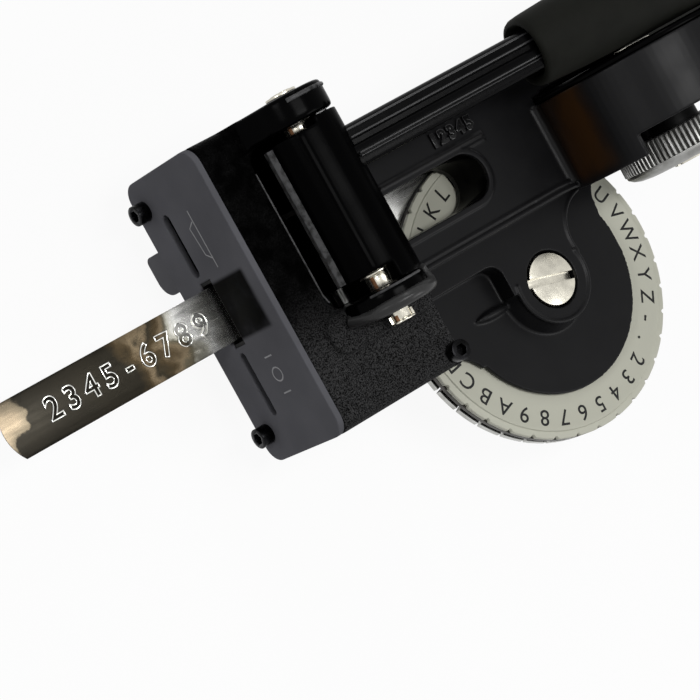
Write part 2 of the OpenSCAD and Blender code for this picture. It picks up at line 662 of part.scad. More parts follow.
// ---------- lever ----------
module lever() color("#1b1b1c") {
    difference() {
        union() {
            // barrel, cut away round the bushes in front of the pin
            difference() {
                y_rod(pin_x, pin_z, barrel_r, ear_y0 + side_gap, ear_y1 - side_gap);
                for (y = [[ear_y0, barrel_y0], [barrel_y1, ear_y1]])
                    block(pin_x - 10, pin_x - 1, y[0], y[1], pin_z - 10, pin_z + 10);
                y_rod(pin_x, pin_z, bush_r + 1.6, ear_y0, barrel_y0);
                y_rod(pin_x, pin_z, bush_r + 0.6, barrel_y1, ear_y1);
            }
            // crank that draws the press bar
            xz_slab(bar_y0 + 0.3, bar_y1 - 0.3) {
                translate([pin_x, pin_z - crank_len]) circle(crank_r);
                translate([pin_x - 1.3, pin_z - crank_len]) square([2.6, crank_len]);
            }
            // toe that lifts the cutters
            xz_slab(barrel_y0, barrel_y1) translate([pin_x, pin_z]) {
                translate([toe_dx, toe_dz]) circle(toe_r);
                polygon([[toe_dx, toe_dz - toe_r], [toe_dx + 3, toe_dz - 0.3], [toe_dx + 4.8, toe_dz + 0.8],
                    [0, -5], [-6.2, -5.5], [toe_dx + toe_r + 0.6, toe_dz + 0.2]]);
            }
            lever_frame() {
                xz_slab(arm_y - arm_w/2, arm_y + arm_w/2) {
                    translate([0, -arm_h/2]) square([grip_start + 6, arm_h]);
                }
                xz_slab(arm_y - arm_w/2 + 1, arm_y + arm_w/2 - 1)
                    translate([grip_start, -arm_h/2 + 1]) square([lever_len - grip_start - 12, arm_h - 2]);
                // collar between the barrel and the arm
                xz_slab(arm_y - arm_w/2 - 1.5, arm_y) translate([0, -arm_h/2])
                    square([barrel_r + 1, arm_h + 0.5]);
            }
        }
        y_rod(pin_x, pin_z, pin_r + run_fit, 0, 80);
    }
}

// grip round a straight tang, from its mouth to its end
module rubber_grip(x_mouth, x_full, x_end, mouth_w, mouth_h) hull() {
    grip_ring(x_mouth + 0.6, mouth_w, mouth_h, 1.2);
    grip_ring(x_full, grip_w, grip_h, 2);
    grip_ring(x_end - 6, grip_w, grip_h, 1);
    grip_ring(x_end - 0.25, grip_w - 7, grip_h - 7, 0.5);
}
module grip_ring(x, w, h, t) translate([x, 0, 0]) yz_slab(-t/2, t/2) {
    r = min(w, h)/2 - 0.5;
    for (y = [-1, 1], z = [-1, 1]) translate([y*(w/2 - r), z*(h/2 - r)]) circle(r, $fn = 32);
}

module lever_grip() color("#232324") difference() {
    lever_frame() translate([0, arm_y, 0]) rubber_grip(grip_start, grip_start + 30, lever_len, 14.6, 16);
    lever_frame() {
        block(grip_start - 3, grip_start + 6, arm_y - arm_w/2, arm_y + arm_w/2, -arm_h/2, arm_h/2);
        block(grip_start, lever_len - 12, arm_y - arm_w/2 + 1, arm_y + arm_w/2 - 1, -arm_h/2 + 1,
            arm_h/2 - 1);
    }
}

module handle_grip() color("#232324") difference() {
    translate([0, handle_y, grip_h/2 + 0.5]) rubber_grip(handle_x0 + 2, handle_x0 + 22, handle_x1, 15, 19);
    block(handle_x0 - 3, handle_x1 - 10, handle_y - tang_half, handle_y + tang_half, tang_z0, tang_z1);
}

module pivot_pin() color("#c2b79c") y_rod(pin_x, pin_z, pin_r, ear_y0 - ear_t - 1.8, head_y1 + 1);

module pin_clips() color("#b9b9b6") for (y = [ear_y0 - ear_t - 1.2, head_y1 + 0.1]) difference() {
    y_rod(pin_x, pin_z, pin_r + 1, y, y + 0.7);
    y_rod(pin_x, pin_z, pin_r, y - 1, y + 2);
}

module pivot_bushes() color("#a8a294") difference() {
    union() {
        y_rod(pin_x, pin_z, bush_r, ear_y0, barrel_y0 - 0.8);
        y_rod(pin_x, pin_z, bush_r + bush_flange, barrel_y0 - 0.8, barrel_y0 - 0.2);
        y_rod(pin_x, pin_z, pin_r + 0.6, barrel_y1 + 0.2, ear_y1);
    }
    y_rod(pin_x, pin_z, pin_r + run_fit, ear_y0 - 1, ear_y1 + 1);
}

module return_spring() color("#b0b0ae") spring_place()
    coil_spring(spring_r - 0.35, 0.35, pin_z + (spring_x - pin_x)*tan(lever_pitch) - arm_h/2/cos(lever_pitch)
        - spring_r*tan(lever_pitch) - 0.2 - spring_z, 9);

// ---------- cutters ----------
module cutter_yoke() color("#6d6d6b") difference() {
    union() {
        block(yoke_x0, yoke_x1, head_y0 + block_wall + 1, head_y1 - block_wall - 1, yoke_z0, yoke_bar_z);
        block(yoke_x0, yoke_x1, tape_y - yoke_half, tape_y + yoke_half, yoke_z0, yoke_z1);
        // fork that the lever's toe lifts
        for (z = fork_z) block(yoke_x0 + 1, fork_x1, tape_y - yoke_half, tape_y + yoke_half, z, z + fork_t);
    }
    yoke_window(tape_y, tape_w + 2, 1.2);
    yoke_window(trim_y, slot_w - 1.2, 1.6);
    yoke_window(punch_y, slot_w, 1.6);
}
module yoke_window(y, w, above) block(yoke_x0 - 1, yoke_x1 + 1, y - w/2, y + w/2, window_z, tape_z + above);

module trim_blade() color("#c2c2c0") xz_slab(trim_y - slot_w/2 + 0.6, trim_y + slot_w/2 - 0.6)
    polygon([[yoke_x1 - 0.8, window_z], [yoke_x1, window_z],
        [yoke_x1, tape_z - 0.9], [yoke_x1 - 0.8, tape_z - 1.3]]);

module hole_punch() color("#c2c2c0") translate([(yoke_x0 + yoke_x1)/2, punch_y, window_z])
    cylinder(r = 1.1, h = toe_lift + 0.3);

module cutter_die_bar() block(yoke_x1 + slide_fit, yoke_x1 + slide_fit + die_t, ear_y0 - ear_t,
    head_y1 - block_wall - 1, tape_z + die_rise, tape_z + die_rise + die_h);
module cutter_dies() color("#8c8c88") cutter_die_bar();

module mode_selector() color("#3a3a3c") yz_slab(block_x0 + 0.1, block_x0 + 0.1 + selector_t - 0.1) {
    translate([selector_y - selector_w/2, head_z0 - selector_drop + tab_r])
        square([selector_w, selector_drop + 1.5]);
    intersection() {
        translate([selector_y - selector_w/2, head_z0 - selector_drop]) square([selector_w, tab_r + 1]);
        translate([selector_y - selector_w/2 + tab_r, head_z0 - selector_drop + tab_r]) union() {
            circle(tab_r);
            square([selector_w, tab_r + 1]);
            translate([0, -tab_r]) square([selector_w - tab_r - 1.5, 2*tab_r + 1]);
            translate([selector_w - tab_r - 1.5, 1.5 - tab_r]) {
                circle(1.5);
                translate([-1, 0]) square([2.5, 2*tab_r + 1]);
            }
        }
    }
}

// ---------- tape and its drive ----------
module tape_strip() color("#a9a9a6") difference() {
    block(front_x - tape_out, lead_x, tape_y0, tape_y1, tape_z - tape_t/2, tape_z + tape_t/2);
    for (s = [-1, 1]) translate([front_x - tape_out, tape_y + s*tape_w/2, tape_z - 1]) difference() {
        block(-1, tape_end_r, -tape_end_r, tape_end_r, 0, 2);
        translate([tape_end_r, -s*tape_end_r, -1]) cylinder(r = tape_end_r, h = 4);
        if (s > 0) block(-1, tape_end_r, -2*tape_end_r, -tape_end_r, -1, 3);
        if (s < 0) block(-1, tape_end_r, tape_end_r, 2*tape_end_r, -1, 3);
    }
}

// the lead runs from the coil's tangent, bends and meets the end of the strip
module tape_lead() color("#a9a9a6") xz_slab(tape_y0, tape_y1) {
    outer = [for (a = [0:lead_angle/6:lead_angle]) [lead_x + 0.2 + (lead_r + tape_t/2)*sin(a),
        tape_z + lead_r - (lead_r + tape_t/2)*cos(a)]];
    inner = [for (a = [lead_angle:-lead_angle/6:0]) [lead_x + 0.2 + (lead_r - tape_t/2)*sin(a),
        tape_z + lead_r - (lead_r - tape_t/2)*cos(a)]];
    tip = [for (s = [1, -1]) [drum_x + (coil_r + 0.35 + s*tape_t/2)*sin(lead_angle),
        drum_z - (coil_r + 0.35 + s*tape_t/2)*cos(lead_angle)]];
    polygon(concat([[lead_x, tape_z - tape_t/2]], outer, tip, inner, [[lead_x, tape_z + tape_t/2]]));
}

module tape_guide() color("#3a3a3c") difference() {
    block(yoke_x1 + guide_gap, roller_x - roller_r - 2, tape_y0 - 2, tape_y1 + 2, head_z0 + 2, tape_z + 1.6);
    block(yoke_x1, roller_x, tape_y0 - 0.3, tape_y1 + 0.3, tape_z - 0.5, tape_z + 0.5);
    block(yoke_x1, roller_x, tape_y0 + 2, tape_y1 - 2, tape_z - 2, tape_z + 3);
}

module roller_at(s) translate([roller_x, tape_y, tape_z + s*(roller_r + tape_t/2 + roller_gap)])
    rotate([90, 0, 0]) children();
module roller() difference() {
    cylinder(r = roller_r, h = roller_w, center = true);
    cylinder(r = roller_axle_r + run_fit, h = roller_w + 2, center = true);
}
module feed_roller() color("#3a3a3c") roller_at(-1) roller();
module press_roller() color("#8c8c88") roller_at(1) roller();
module roller_axles() color("#b9b9b6") for (s = [-1, 1]) roller_at(s)
    translate([0, 0, -cheek_y - cheek_t + tape_y])
        cylinder(r = roller_axle_r, h = cheek_y + cheek_t - tape_y + 11);

module tape_coil() color("#a9a9a6") difference() {
    y_rod(drum_x, drum_z, coil_r, tape_y0, tape_y1);
    y_rod(drum_x, drum_z, reel_r, tape_y0 - 1, tape_y1 + 1);
}

module reel_hub() color("#3a3a3c") difference() {
    union() {
        y_rod(drum_x, drum_z, neck_r, wheel_y1, notch_y + 2.2);
        y_rod(drum_x, drum_z, reel_r, notch_y + 2.1, tape_y1 - 0.2);
    }
    y_rod(drum_x, drum_z, spindle_r + run_fit, wheel_y1 - 1, tape_y1 + 1);
}

module knurled_wheel() color("#c9c9c6") difference() {
    union() {
        y_rod(drum_x, drum_z, knurl_r - 0.35, wheel_y1 - ridge_w, wheel_y1);
        translate([drum_x, wheel_y1, drum_z]) rotate([90, 0, 0]) linear_extrude(ridge_w)
            for (i = [0:knurl_count - 1]) rotate(i*360/knurl_count) translate([knurl_r - 0.55, 0])
                circle(0.55, $fn = 6);
        translate([drum_x, wheel_y1 - ridge_w, drum_z]) rotate([90, 0, 0])
            cylinder(r1 = knurl_r - 0.2, r2 = knurl_r - 4, h = knurl_w - ridge_w);
    }
    y_rod(drum_x, drum_z, spindle_r + run_fit, wheel_y1 - knurl_w - 1, wheel_y1 + 1);
    y_rod(drum_x, drum_z, spindle_r + 3, wheel_y1 - knurl_w - 1, wheel_y1 - knurl_w + 1.5);
}

module reel_spindle() color("#b9b9b6") difference() {
    union() {
        y_rod(drum_x, drum_z, spindle_r, wheel_y1 - knurl_w + 1, drum_y1);
        y_rod(drum_x, drum_z, spindle_r + 1.4, wheel_y1 - knurl_w - 0.6, wheel_y1 - knurl_w + 1.2);
    }
    block(drum_x - 6, drum_x + 6, wheel_y1 - knurl_w - 2, wheel_y1 - knurl_w + 0.2, drum_z - 0.5,
        drum_z + 0.5);
}

module magazine_cover() color("#1b1b1c") difference() {
    y_rod(drum_x, drum_z, drum_r, drum_y1 - drum_cover_t, drum_y1);
    y_rod(drum_x, drum_z, spindle_r + run_fit, drum_y1 - 3, drum_y1 + 1);
}

module spindle_nut() color("#b9b9b6") difference() {
    y_rod(drum_x, drum_z, spindle_r + 1.5, drum_y1, drum_y1 + nut_t - 0.1);
    y_rod(drum_x, drum_z, spindle_r - 0.8, drum_y1 - 1, drum_y1 + 1);
}

main_frame();
base_casting();
head_block();
front_plate();
exit_guide();
front_screws();
pad_screw();
base_screws();
base_pad();
axle_screw();
axle_sleeve();
letter_dial();
upper_die_disc();
lower_die_disc();
dial_hub();
detent_ball();
detent_spring();
anvil();
press_ram();
press_bar();
lever();
lever_grip();
handle_grip();
pivot_pin();
pin_clips();
pivot_bushes();
return_spring();
cutter_yoke();
trim_blade();
hole_punch();
cutter_dies();
mode_selector();
tape_strip();
tape_lead();
tape_guide();
feed_roller();
press_roller();
roller_axles();
tape_coil();
reel_hub();
knurled_wheel();
reel_spindle();
magazine_cover();
spindle_nut();
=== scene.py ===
import json
import math

import bmesh
import bpy
from mathutils import Matrix, Vector


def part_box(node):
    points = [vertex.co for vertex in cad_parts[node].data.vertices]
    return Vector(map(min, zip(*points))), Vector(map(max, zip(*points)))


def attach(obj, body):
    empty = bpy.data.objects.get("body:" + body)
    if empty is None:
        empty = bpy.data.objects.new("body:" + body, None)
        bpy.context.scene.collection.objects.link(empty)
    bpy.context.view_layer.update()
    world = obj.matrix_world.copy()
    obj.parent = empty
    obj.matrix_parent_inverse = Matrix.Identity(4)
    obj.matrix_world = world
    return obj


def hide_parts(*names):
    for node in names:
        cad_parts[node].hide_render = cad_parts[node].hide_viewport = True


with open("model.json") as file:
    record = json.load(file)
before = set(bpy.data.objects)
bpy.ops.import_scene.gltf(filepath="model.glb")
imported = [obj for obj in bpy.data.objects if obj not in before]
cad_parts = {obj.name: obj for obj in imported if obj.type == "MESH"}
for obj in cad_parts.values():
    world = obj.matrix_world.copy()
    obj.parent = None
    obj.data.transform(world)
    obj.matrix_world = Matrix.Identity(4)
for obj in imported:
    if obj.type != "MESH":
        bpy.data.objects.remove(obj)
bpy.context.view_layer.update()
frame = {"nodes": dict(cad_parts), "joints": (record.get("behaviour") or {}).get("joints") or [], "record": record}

MM = 0.001


def mm(*values):
    """A point given in millimetres, in metres."""
    return Vector([v*MM for v in values])


# ---------------------------------------------------------------- places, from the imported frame
def low(node):
    """The lowest corner of a node's box, in millimetres."""
    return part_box(node)[0]/MM


def high(node):
    """The highest corner of a node's box, in millimetres."""
    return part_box(node)[1]/MM


def middle(node):
    return (low(node) + high(node))/2


joints = {j["name"]: j for j in frame["joints"]}
PIN = Vector(joints["lever_squeeze"]["pos_m"])/MM
REEL = Vector(joints["reel_turn"]["pos_m"])/MM
DIAL_Z = high("letter_dial").z
DIAL_R = high("letter_dial").x
TAPE_Y = middle("tape_strip").y
TAPE_Z = middle("tape_strip").z
TAPE_W = high("tape_strip").y - low("tape_strip").y
FRONT_X = low("front_plate").x
EAR_Y0 = low("pivot_bushes").y          # inner faces of the head's two ears
EAR_Y1 = high("pivot_bushes").y
HEAD_TOP = DIAL_Z + 18.2
GLOSS_Z = HEAD_TOP + 1.9                # the ears are smooth and glossy above this

# ---------------------------------------------------------------- camera, lights and floor
LENS_MM = 154.3
SENSOR_MM = 36
CAMERA_AT = Vector((-394.6, 35.6, DIAL_Z + 549.9))
VIEW_RIGHT = Vector((0.7323, -0.4826, 0.4804))
VIEW_UP = Vector((0.4289, 0.8749, 0.2250))


def make_camera():
    data = bpy.data.cameras.new("camera")
    data.lens = LENS_MM
    data.sensor_width = SENSOR_MM
    data.clip_start = 0.01
    camera = bpy.data.objects.new("camera", data)
    right = VIEW_RIGHT.normalized()
    back = right.cross(VIEW_UP).normalized()
    up = back.cross(right)
    turn = Matrix((right, up, back)).transposed().to_4x4()
    camera.matrix_world = Matrix.Translation(CAMERA_AT*MM) @ turn
    bpy.context.scene.collection.objects.link(camera)
    bpy.context.scene.camera = camera


def area_light(name, at, target, size, power, size_y=None):
    """A soft lamp. Places and sizes are in millimetres, power in watts."""
    data = bpy.data.lights.new(name, "AREA")
    data.energy = power
    data.size = size*MM
    if size_y:
        data.shape = "RECTANGLE"
        data.size_y = size_y*MM
    lamp = bpy.data.objects.new(name, data)
    lamp.location = mm(*at)
    lamp.rotation_euler = (mm(*at) - mm(*target)).to_track_quat("Z", "Y").to_euler()
    bpy.context.scene.collection.objects.link(lamp)
    return lamp


WORLD_LIGHT = 0.1
FLOOR_GLOW = 0.93
FLOOR_HALF = 1.5          # metres
FLOOR_Z = -0.0002         # metres


def seen_mix(tree, light, dim_shader, white_shader):
    """White for the camera, for mirror rays and through glass, and dim for the light it gives."""
    path = add(tree, "ShaderNodeLightPath")
    seen = math_node(tree, "MAXIMUM", path.outputs["Is Camera Ray"], path.outputs["Is Glossy Ray"])
    seen = math_node(tree, "MAXIMUM", seen, path.outputs["Is Transmission Ray"])
    mix = add(tree, "ShaderNodeMixShader")
    tree.links.new(math_node(tree, "MULTIPLY", seen, light), mix.inputs["Fac"])
    tree.links.new(dim_shader.outputs[0], mix.inputs[1])
    tree.links.new(white_shader.outputs[0], mix.inputs[2])
    return mix


def make_world():
    world = bpy.data.worlds.new("studio")
    bpy.context.scene.world = world
    world.use_nodes = True
    tree = world.node_tree
    tree.nodes.clear()
    out = add(tree, "ShaderNodeOutputWorld")
    dim = add(tree, "ShaderNodeBackground", Strength=WORLD_LIGHT)
    white = add(tree, "ShaderNodeBackground", Strength=1)
    for background in (dim, white):
        background.inputs["Color"].default_value = (1, 1, 1, 1)
    tree.links.new(seen_mix(tree, 1, dim, white).outputs[0], out.inputs["Surface"])


def make_floor():
    mesh = bpy.data.meshes.new("floor")
    corners = [(x*FLOOR_HALF, y*FLOOR_HALF, 0) for x, y in ((-1, -1), (1, -1), (1, 1), (-1, 1))]
    mesh.from_pydata(corners, [], [(0, 1, 2, 3)])
    floor = bpy.data.objects.new("floor", mesh)
    floor.location.z = FLOOR_Z
    bpy.context.scene.collection.objects.link(floor)
    material = bpy.data.materials.new("floor")
    material.use_nodes = True
    tree = material.node_tree
    tree.nodes.clear()
    out = add(tree, "ShaderNodeOutputMaterial")
    diffuse = add(tree, "ShaderNodeBsdfDiffuse")
    diffuse.inputs["Color"].default_value = (0.86, 0.86, 0.86, 1)
    glow = add(tree, "ShaderNodeEmission", Strength=1)
    tree.links.new(seen_mix(tree, FLOOR_GLOW, diffuse, glow).outputs[0], out.inputs["Surface"])
    mesh.materials.append(material)


# ---------------------------------------------------------------- materials
def shader(name, color, rough, metal=0.0, index=1.45):
    material = bpy.data.materials.new(name)
    material.use_nodes = True
    tree = material.node_tree
    bsdf = tree.nodes["Principled BSDF"]
    bsdf.inputs["Base Color"].default_value = (*color, 1)
    bsdf.inputs["Roughness"].default_value = rough
    bsdf.inputs["Metallic"].default_value = metal
    bsdf.inputs["IOR"].default_value = index
    return material, tree, bsdf


def add(tree, kind, **values):
    """A new node. Each value is a setting of it or the plain number of an input."""
    node = tree.nodes.new(kind)
    for key, value in values.items():
        if hasattr(node, key):
            setattr(node, key, value)
        else:
            node.inputs[key.replace("_", " ")].default_value = value
    return node


def place_of(tree):
    return add(tree, "ShaderNodeTexCoord").outputs["Object"]


def noise(tree, per_mm, detail=4.0, rough=0.55, stretch=(1, 1, 1)):
    """Noise in the object's own space, with so many waves per millimetre."""
    scale = add(tree, "ShaderNodeMapping")
    scale.inputs["Scale"].default_value = [1000*per_mm*s for s in stretch]
    texture = add(tree, "ShaderNodeTexNoise", Scale=1.0, Detail=detail, Roughness=rough)
    tree.links.new(place_of(tree), scale.inputs["Vector"])
    tree.links.new(scale.outputs[0], texture.inputs["Vector"])
    return texture.outputs["Fac"]


def ramp(tree, fac, stops):
    """A colour ramp through (place, grey or colour) stops."""
    node = add(tree, "ShaderNodeValToRGB")
    node.color_ramp.elements[0].position = stops[0][0]
    node.color_ramp.elements[1].position = stops[-1][0]
    for place, _ in stops[1:-1]:
        node.color_ramp.elements.new(place)
    for element, (_, value) in zip(node.color_ramp.elements, stops):
        element.color = (*value, 1) if isinstance(value, tuple) else (value, value, value, 1)
    tree.links.new(fac, node.inputs[0])
    return node.outputs[0]


def math_node(tree, operation, a, b):
    node = add(tree, "ShaderNodeMath", operation=operation)
    for socket, value in zip(node.inputs, (a, b)):
        if isinstance(value, (int, float)):
            socket.default_value = value
        else:
            tree.links.new(value, socket)
    return node.outputs[0]


def step(tree, axis, start, end):
    """Rises smoothly from 0 to 1 between two places in millimetres along an axis of the object."""
    split = add(tree, "ShaderNodeSeparateXYZ")
    tree.links.new(place_of(tree), split.inputs[0])
    rise = add(tree, "ShaderNodeMapRange", interpolation_type="SMOOTHSTEP")
    rise.inputs["From Min"].default_value = start*MM
    rise.inputs["From Max"].default_value = end*MM
    tree.links.new(split.outputs[axis], rise.inputs["Value"])
    return rise.outputs["Result"]


def blend_color(tree, share, a, b):
    node = add(tree, "ShaderNodeMix", data_type="RGBA")
    tree.links.new(share, node.inputs["Factor"])
    for socket, value in ((node.inputs[6], a), (node.inputs[7], b)):
        if isinstance(value, tuple):
            socket.default_value = (*value, 1)
        else:
            tree.links.new(value, socket)
    return node.outputs[2]


def bump(tree, bsdf, height, depth_mm):
    node = add(tree, "ShaderNodeBump", Strength=1.0, Distance=depth_mm*MM)
    tree.links.new(height, node.inputs["Height"])
    tree.links.new(node.outputs[0], bsdf.inputs["Normal"])


def painted(name, color, rough, spread, peel_mm, peel_depth, index=1.45):
    """Paint with orange peel and a slight change of gloss."""
    material, tree, bsdf = shader(name, color, rough, index=index)
    gloss = ramp(tree, noise(tree, 0.12), [(0.35, rough - spread), (0.65, rough + spread)])
    tree.links.new(gloss, bsdf.inputs["Roughness"])
    bump(tree, bsdf, noise(tree, 1/peel_mm, 2.0), peel_depth)
    return material


def metal(name, dark, light, rough, spread, grain_mm):
    """Bare metal with a fine grain and a little stain."""
    material, tree, bsdf = shader(name, light, rough, metal=1.0)
    cloud = noise(tree, 0.3)
    tree.links.new(ramp(tree, cloud, [(0.3, dark), (0.6, light)]), bsdf.inputs["Base Color"])
    grain = noise(tree, 1/grain_mm, 5.0, 0.6)
    gloss = ramp(tree, grain, [(0.3, rough - spread), (0.7, rough + spread)])
    tree.links.new(gloss, bsdf.inputs["Roughness"])
    bump(tree, bsdf, grain, 0.004)
    return material


def rubbery(name, color, rough, grain_mm, depth, index=1.4):
    """Rubber or plastic with a fine grain, a little lighter in places."""
    material, tree, bsdf = shader(name, color, rough, index=index)
    grain = noise(tree, 1/grain_mm, 3.0)
    lighter = tuple(c*1.35 for c in color)
    shades = ramp(tree, noise(tree, 0.2), [(0.35, color), (0.7, lighter)])
    tree.links.new(shades, bsdf.inputs["Base Color"])
    bump(tree, bsdf, grain, depth)
    return material


def wrinkled(name, grey, black):
    """Wrinkle paint: grey speckles on the near side as painted light, and black from the near ear on as painted
    shade.
    """
    material, tree, bsdf = shader(name, grey, 0.42, index=1.05)
    # painted shade: black from the near ear on; before it the grey speckles are painted light
    shaded_far_side = step(tree, "Y", EAR_Y0 - 10, EAR_Y0 + 10)
    cloud = noise(tree, 0.25, 3.0)
    share = math_node(tree, "MULTIPLY", shaded_far_side, ramp(tree, cloud, [(0.3, 0.85), (0.6, 1.0)]))
    crumb = noise(tree, 3.4, 3.0, 0.65)
    lit_speckles = ramp(tree, crumb, [(0.40, black), (0.60, grey)])
    tree.links.new(blend_color(tree, share, lit_speckles, black), bsdf.inputs["Base Color"])
    tree.links.new(ramp(tree, shaded_far_side, [(0, 0.45), (1, 0.28)]), bsdf.inputs["Roughness"])
    bump(tree, bsdf, math_node(tree, "ADD", crumb, noise(tree, 1.6, 2.0)), 0.3)
    return material


def highlight_paint(name, dark, light):
    """Black paint lightened grey in patches along an edge: a painted highlight."""
    material, tree, bsdf = shader(name, light, 0.36, index=1.25)
    patches = ramp(tree, noise(tree, 0.5, 4.0, 0.6), [(0.38, dark), (0.58, light)])
    tree.links.new(patches, bsdf.inputs["Base Color"])
    bump(tree, bsdf, noise(tree, 1.2, 3.0), 0.03)
    return material


def frame_paint():
    """Satin black paint, with a painted brown reflection streaked down the drum's shoulder."""
    black, brown = (0.0058, 0.0058, 0.0063), (0.032, 0.014, 0.0045)
    material, tree, bsdf = shader("black_paint", black, 0.36, index=1.2)
    # painted reflection: a streaked brown band down the drum's shoulder
    drum_brown_reflection = step(tree, "X", REEL.x - 17, REEL.x - 20)
    for axis, start, end in (("Z", DIAL_Z + 14.3, DIAL_Z + 19), ("Z", DIAL_Z + 34.5, DIAL_Z + 29),
                             ("Y", 14.5, 17.5)):
        drum_brown_reflection = math_node(tree, "MULTIPLY", drum_brown_reflection, step(tree, axis, start, end))
    reflection_streak = ramp(tree, noise(tree, 0.12, 3.0, 0.5, (1.5, 0.5, 1)), [(0.36, 0.35), (0.6, 1.0)])
    drum_brown_reflection = math_node(tree, "MULTIPLY", drum_brown_reflection, reflection_streak)
    tree.links.new(blend_color(tree, drum_brown_reflection, black, brown), bsdf.inputs["Base Color"])
    gloss = ramp(tree, noise(tree, 0.12), [(0.35, 0.32), (0.65, 0.4)])
    tree.links.new(gloss, bsdf.inputs["Roughness"])
    bump(tree, bsdf, noise(tree, 0.33, 2.0), 0.01)
    return material


def tape_metal():
    """Tape, dark along its length, with brown bands, painted golden highlights among them, and bright near the
    head.
    """
    material, tree, bsdf = shader("tape_metal", (0.4, 0.4, 0.37), 0.24, metal=1.0)
    split = add(tree, "ShaderNodeSeparateXYZ")
    tree.links.new(place_of(tree), split.inputs[0])
    along = add(tree, "ShaderNodeMapRange")
    along.inputs["From Min"].default_value = (FRONT_X - 58)*MM
    along.inputs["From Max"].default_value = (FRONT_X + 2)*MM
    tree.links.new(split.outputs["X"], along.inputs["Value"])
    wander = math_node(tree, "MULTIPLY", math_node(tree, "SUBTRACT", noise(tree, 0.09, 2.0), 0.5), 0.42)
    drift = math_node(tree, "MULTIPLY", math_node(tree, "SUBTRACT", noise(tree, 0.35, 3.0), 0.5), 0.10)
    place = math_node(tree, "ADD", along.outputs["Result"], math_node(tree, "ADD", wander, drift))
    dull, brown = (0.011, 0.010, 0.008), (0.055, 0.040, 0.022)
    gold_highlight, bright = (0.15, 0.115, 0.072), (0.9, 0.9, 0.87)
    # the gold stops are painted highlights; the other stops darken or lighten the tape along its length
    stain = ramp(tree, place, [
        (0.0, (0.10, 0.080, 0.055)), (0.07, (0.06, 0.05, 0.035)), (0.085, dull),
        (0.50, (0.018, 0.016, 0.012)), (0.56, brown), (0.60, gold_highlight), (0.63, (0.03, 0.026, 0.018)),
        (0.68, brown), (0.72, gold_highlight), (0.76, (0.09, 0.08, 0.055)), (0.80, (0.45, 0.44, 0.38)),
        (0.85, bright), (0.92, (0.62, 0.62, 0.57)), (0.95, bright)])
    tree.links.new(stain, bsdf.inputs["Base Color"])
    scratches = noise(tree, 0.9, 4.0, 0.6, (0.1, 1, 1))
    tree.links.new(ramp(tree, scratches, [(0.3, 0.18), (0.7, 0.28)]), bsdf.inputs["Roughness"])
    bump(tree, bsdf, scratches, 0.0003)
    return material


def plate_paint():
    """Grey paint of the front plate, with a soft-edged black patch above the tape, lightened in places by a
    painted reflection.
    """
    material, tree, bsdf = shader("plate_paint", (0.05, 0.05, 0.056), 0.5, index=1.045)
    half = TAPE_W/2 + 0.1
    patch = step(tree, "Y", TAPE_Y - half - 0.9, TAPE_Y - half + 0.3)
    for axis, start, end in (("Y", TAPE_Y + half + 0.9, TAPE_Y + half - 0.3),
                             ("Z", TAPE_Z + 18.4, TAPE_Z + 16.4), ("Z", TAPE_Z - 2, TAPE_Z - 1)):
        patch = math_node(tree, "MULTIPLY", patch, step(tree, axis, start, end))
    # painted reflection: the black patch is lighter grey in places
    patch_with_reflection = ramp(tree, noise(tree, 0.16, 3.0, 0.5, (1, 1, 0.8)), [
        (0.46, (0.0003, 0.0003, 0.0003)), (0.56, (0.004, 0.004, 0.005)), (0.68, (0.016, 0.016, 0.018))])
    grey = ramp(tree, noise(tree, 0.07, 3.0), [(0.3, (0.092, 0.092, 0.102)), (0.7, (0.113, 0.113, 0.125))])
    tree.links.new(blend_color(tree, patch, grey, patch_with_reflection), bsdf.inputs["Base Color"])
    tree.links.new(ramp(tree, patch, [(0, 0.5), (1, 0.4)]), bsdf.inputs["Roughness"])
    bump(tree, bsdf, noise(tree, 2.2, 3.0), 0.006)
    return material


MATERIALS = {
    "black_paint": frame_paint(),
    "wrinkle_paint": wrinkled("wrinkle_paint", (0.054, 0.054, 0.055), (0.0004, 0.0004, 0.0004)),
    "grey_paint": painted("grey_paint", (0.085, 0.085, 0.095), 0.48, 0.04, 0.5, 0.008, 1.15),
    "black_plastic": rubbery("black_plastic", (0.002, 0.002, 0.002), 0.45, 0.4, 0.02, 1.15),
    "black_screw": metal("black_screw", (0.004, 0.004, 0.004), (0.012, 0.012, 0.013), 0.3, 0.08, 0.3),
    "rubber": rubbery("rubber", (0.014, 0.014, 0.014), 0.7, 0.5, 0.03),
    "nickel": metal("nickel", (0.46, 0.44, 0.38), (0.66, 0.63, 0.54), 0.26, 0.08, 0.25),
    "brass": metal("brass", (0.30, 0.20, 0.10), (0.62, 0.48, 0.28), 0.3, 0.08, 0.3),
    "dial_enamel": painted("dial_enamel", (0.50, 0.50, 0.42), 0.5, 0.05, 0.6, 0.012, 1.4),
    "dark_steel": metal("dark_steel", (0.03, 0.03, 0.027), (0.08, 0.075, 0.07), 0.4, 0.08, 0.3),
    "bright_steel": metal("bright_steel", (0.30, 0.30, 0.28), (0.52, 0.52, 0.50), 0.3, 0.08, 0.3),
    "steel": metal("steel", (0.20, 0.20, 0.19), (0.38, 0.38, 0.37), 0.34, 0.08, 0.3),
    "grip_rubber": rubbery("grip_rubber", (0.006, 0.0062, 0.0050), 0.6, 0.35, 0.03, 1.15),
    "aluminium": tape_metal(),
}
LEVER_PAINT = painted("lever_paint", (0.0006, 0.0006, 0.0007), 0.26, 0.03, 3.0, 0.01, 1.06)
HIGHLIGHT_EDGE_PAINT = highlight_paint("painted_highlight_edge", (0.006, 0.006, 0.006), (0.062, 0.062, 0.064))
WHITE_INK = painted("white_ink", (0.24, 0.24, 0.25), 0.5, 0.05, 0.4, 0.004)
BLACK_INK = painted("black_ink", (0.006, 0.006, 0.006), 0.5, 0.05, 0.4, 0.004, 1.3)
